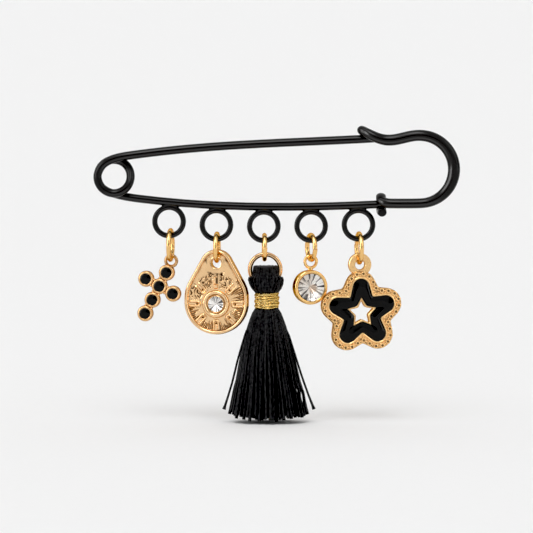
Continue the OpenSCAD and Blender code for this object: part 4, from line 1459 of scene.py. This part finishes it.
class BROOCH_OT_tassel(bpy.types.Operator):
    """Tassel of twisted thread, folded over its ring and bound with gold thread"""

    bl_idname = "brooch.tassel"
    bl_label = "Tassel"

    def execute(self, context):
        sizes = context.scene.brooch_tassel
        thread_r = sizes.thread_d / 2
        centre, form = tassel_form()
        place = IN_METRES @ Matrix.Translation(centre)
        low, high = ((corner - centre).z for corner in box_mm("tassel_band"))
        axis_x = form_at(form, low)[0]
        top = low + 0.4
        # Black rayon: painted glints on the ridges and painted shade on the inner sides
        black = twisted_thread(
            "black_rayon_thread", "#0F0F10", "#6A6A6D", "#010101", 2.6, 24, 0.24, Roughness=0.34,
            Specular_IOR_Level=0.2,
        )
        head = shaded(head_threads(form, thread_r, sizes.head), axis_x)
        finish(head, "brooch", black, ["tassel_thread"], place)
        skirt = skirt_threads(form, thread_r, "tassel_skirt", sizes.skirt, 1.0, top, 0.7, 1)
        pieces = [shaded(skirt, axis_x)]
        for name, share, count, seed in LAYERS:
            layer = skirt_threads(form, thread_r, f"tassel_skirt_{name}", count, share, top, 0.6, seed)
            # Deeper layers hold more painted shade
            pieces.append(shaded(layer, axis_x, 1.3 - share))
        paths = [[(row[hand], -0.8, row[0], row[3]) for row in STRAYS] for hand in (1, 2)]
        pieces.append(wires("tassel_strays", paths, thread_r, sides=6))
        # The core is painted all in the shade colour
        pieces.append(stained_and_painted_dark(tassel_core(form), 1))
        for piece in pieces:
            finish(piece, "brooch", black, (), place)
        # Gold thread: painted glints on the ridges and painted shade in the gaps between turns
        gold = twisted_thread(
            "gold_metallic_thread", context.scene.brooch_golds.thread, "#FFFCCC", "#80480F", 0.7, 17.5, 0.04,
            Metallic=1, Roughness=0.2, Specular_Tint=linear("#C89448"),
        )
        band = shaded(band_threads(form, sizes.turns, low, high), axis_x, sides=10)
        finish(band, "brooch", gold, ["tassel_band"], place)
        return {"FINISHED"}


# Stage


def light_tent():
    """A light tent: white roof and back, white panels beside the camera, dark gaps and a softbox overhead."""
    world = bpy.data.worlds.new("light_tent")
    world.use_nodes = True
    tree = world.node_tree
    way = add_node(tree, "TexCoord", output="Generated")
    sideways, depth, height = add_node(tree, "SeparateXYZ", {0: way}).node.outputs
    aside = add_node(tree, "Math", {0: sideways}, operation="ABSOLUTE")
    # The softbox over the camera is narrower across than from front to back
    direction, stretch, radius, soft_edge, strength = (-0.03, -0.6, 0.79), (1.6, 1, 1), 13, 3, 4.8
    squeezed = add_node(tree, "VectorMath", {0: way, 1: stretch}, operation="MULTIPLY")
    squeezed = add_node(tree, "VectorMath", {0: squeezed}, operation="NORMALIZE")
    to_box = Vector([a * b for a, b in zip(direction, stretch)]).normalized()
    toward = add_node(tree, "VectorMath", {0: squeezed, 1: to_box}, "Value", operation="DOT_PRODUCT")
    far, near = (math.cos(math.radians(angle)) for angle in (radius + soft_edge, radius))
    # Soft edges: what they run along, from where to where, and the levels at both ends
    edges = {
        "front": (depth, -0.02, 0.08, 1, 0),
        "panel": (aside, 0.14, 0.28, 0, 1),
        "panel_end": (aside, 0.6, 0.75, 1, 0),
        "below_roof": (height, 0.15, 0.45, 1, 0),
        "softbox": (toward, far, near, 0, strength),
    }
    levels = {}
    for name, (source, low, high, start, end) in edges.items():
        ends = {"Value": source, "From Min": low, "From Max": high, "To Min": start, "To Max": end}
        levels[name] = add_node(tree, "MapRange", ends, interpolation_type="SMOOTHSTEP")
    # Below the roof the front is dark but for the two panels beside the camera, and the back is white
    sums = (
        ("panel", "MULTIPLY", "panel", "panel_end"),
        ("gap", "SUBTRACT", 1, "panel"),
        ("gloom", "MULTIPLY", "front", "gap"),
        ("gloom", "MULTIPLY", "gloom", "below_roof"),
        ("gloom", "MULTIPLY", "gloom", 0.72),
        ("level", "SUBTRACT", 0.79, "gloom"),
        ("level", "ADD", "level", "softbox"),
    )
    for name, operation, one, other in sums:
        values = {0: levels.get(one, one), 1: levels.get(other, other)}
        levels[name] = add_node(tree, "Math", values, operation=operation)
    tree.links.new(levels["level"], tree.nodes["Background"].inputs["Color"])
    return world


def side_lights(floor, low_z):
    """Softboxes at both sides for the long lines on the wires, and two small lights for the wires alone."""
    # The softboxes are kept off the paper
    unlit = bpy.data.collections.new("paper_out_of_side_light")
    unlit.objects.link(floor)
    unlit.collection_objects[0].light_linking.link_state = "EXCLUDE"
    lit = {name: bpy.data.collections.new(name) for name in SMALL_LIGHTS}
    # Name, place above the lowest point, direction of its back, width and height, power, and what it falls on
    boxes = (
        ("left_box", (-0.46, -0.2, 0.27), (-0.46, -0.2, 0), (0.18, 0.52), 1.4, unlit),
        ("right_box", (0.46, -0.22, 0.27), (0.46, -0.22, 0), (0.12, 0.52), 0.45, unlit),
        ("near_strip", (-0.2, -0.23, 0.14), (-0.2, -0.23, 0), (0.12, 0.26), 0.8, lit["near_strip"]),
        ("bounce_card", (0.005, -0.06, 0.005), (0, 0, -1), (0.13, 0.06), 0.038, lit["bounce_card"]),
    )
    for name, place, back, size, power, receivers in boxes:
        bpy.ops.object.light_add(type="AREA", location=Vector(place) + Vector((0, 0, low_z)))
        box = bpy.context.object
        box.name = name
        box.data.shape = "RECTANGLE"
        box.data.size, box.data.size_y = size
        box.data.energy = power
        box.rotation_euler = Vector(back).to_track_quat("Z", "Y").to_euler()
        box.visible_camera = False
        box.light_linking.receiver_collection = receivers


class BROOCH_OT_stage(bpy.types.Operator):
    """Paper floor, soft lights and the camera"""

    bl_idname = "brooch.stage"
    bl_label = "Stage"

    def execute(self, context):
        looks = context.scene.brooch_stage
        low_z = cad_box[0].z
        bpy.ops.mesh.primitive_plane_add(size=24, location=(0, 0, 0))
        floor = bpy.context.object
        floor.name = "paper_floor"
        floor.data.transform(moved(z=low_z - 0.6 * MM))
        floor.data.materials.append(studio_paper())
        bpy.ops.object.light_add(type="SUN", location=(0, 0, 1))
        sun = bpy.context.object
        sun.name = "overhead_softbox"
        sun.data.energy = 0.4
        sun.data.angle = math.radians(35)
        sun.rotation_euler = (math.radians(18), math.radians(-14), 0)
        side_lights(floor, low_z)
        context.scene.world = light_tent()
        # The middle of the picture, right of and below the middle of the needle
        aim = Vector((3.59, 0, -26.6)) * MM
        climb = math.radians(looks.elevation)
        away = Vector((0, -math.cos(climb), math.sin(climb))) * looks.distance
        bpy.ops.object.camera_add(location=aim + away)
        camera = bpy.context.object
        camera.rotation_euler = (-away).to_track_quat("-Z", "Y").to_euler()
        camera.data.lens = camera.data.sensor_width * looks.distance / (looks.view_width * MM)
        camera.data.clip_start, camera.data.clip_end = 0.05, 50
        context.scene.camera = camera
        view = context.scene.view_settings
        view.view_transform = "Standard"
        # The blacks of the picture are pulled down a little, as a studio does
        view.use_curve_mapping = True
        view.curve_mapping.black_level = (0.014, 0.014, 0.014)
        view.curve_mapping.update()
        return {"FINISHED"}


class BROOCH_PT_panel(bpy.types.Panel):
    """Lists the pieces of the brooch"""

    bl_idname = "BROOCH_PT_panel"
    bl_label = "Charm Brooch"
    bl_space_type = "VIEW_3D"
    bl_region_type = "UI"
    bl_category = "Brooch"

    def draw(self, context):
        for operator in OPERATORS:
            self.layout.operator(operator.bl_idname)


GROUPS = {
    "brooch_pin": PinLooks,
    "brooch_golds": GoldLooks,
    "brooch_charms": CharmSizes,
    "brooch_tassel": TasselSizes,
    "brooch_stage": StageLooks,
}
# The stage comes first, because the wires join the collections of its small lights
OPERATORS = (
    BROOCH_OT_stage,
    BROOCH_OT_pin,
    BROOCH_OT_jump_rings,
    BROOCH_OT_cross,
    BROOCH_OT_teardrop,
    BROOCH_OT_tassel,
    BROOCH_OT_crystal,
    BROOCH_OT_star,
)


def register():
    for name, group in GROUPS.items():
        bpy.utils.register_class(group)
        setattr(bpy.types.Scene, name, bpy.props.PointerProperty(type=group))
    for cls in (*OPERATORS, BROOCH_PT_panel):
        bpy.utils.register_class(cls)


def unregister():
    for cls in (BROOCH_PT_panel, *reversed(OPERATORS)):
        bpy.utils.unregister_class(cls)
    for name, group in reversed(GROUPS.items()):
        delattr(bpy.types.Scene, name)
        bpy.utils.unregister_class(group)


def main():
    register()
    for operator in OPERATORS:
        group, name = operator.bl_idname.split(".")
        getattr(getattr(bpy.ops, group), name)()


if __name__ == "__main__":
    main()
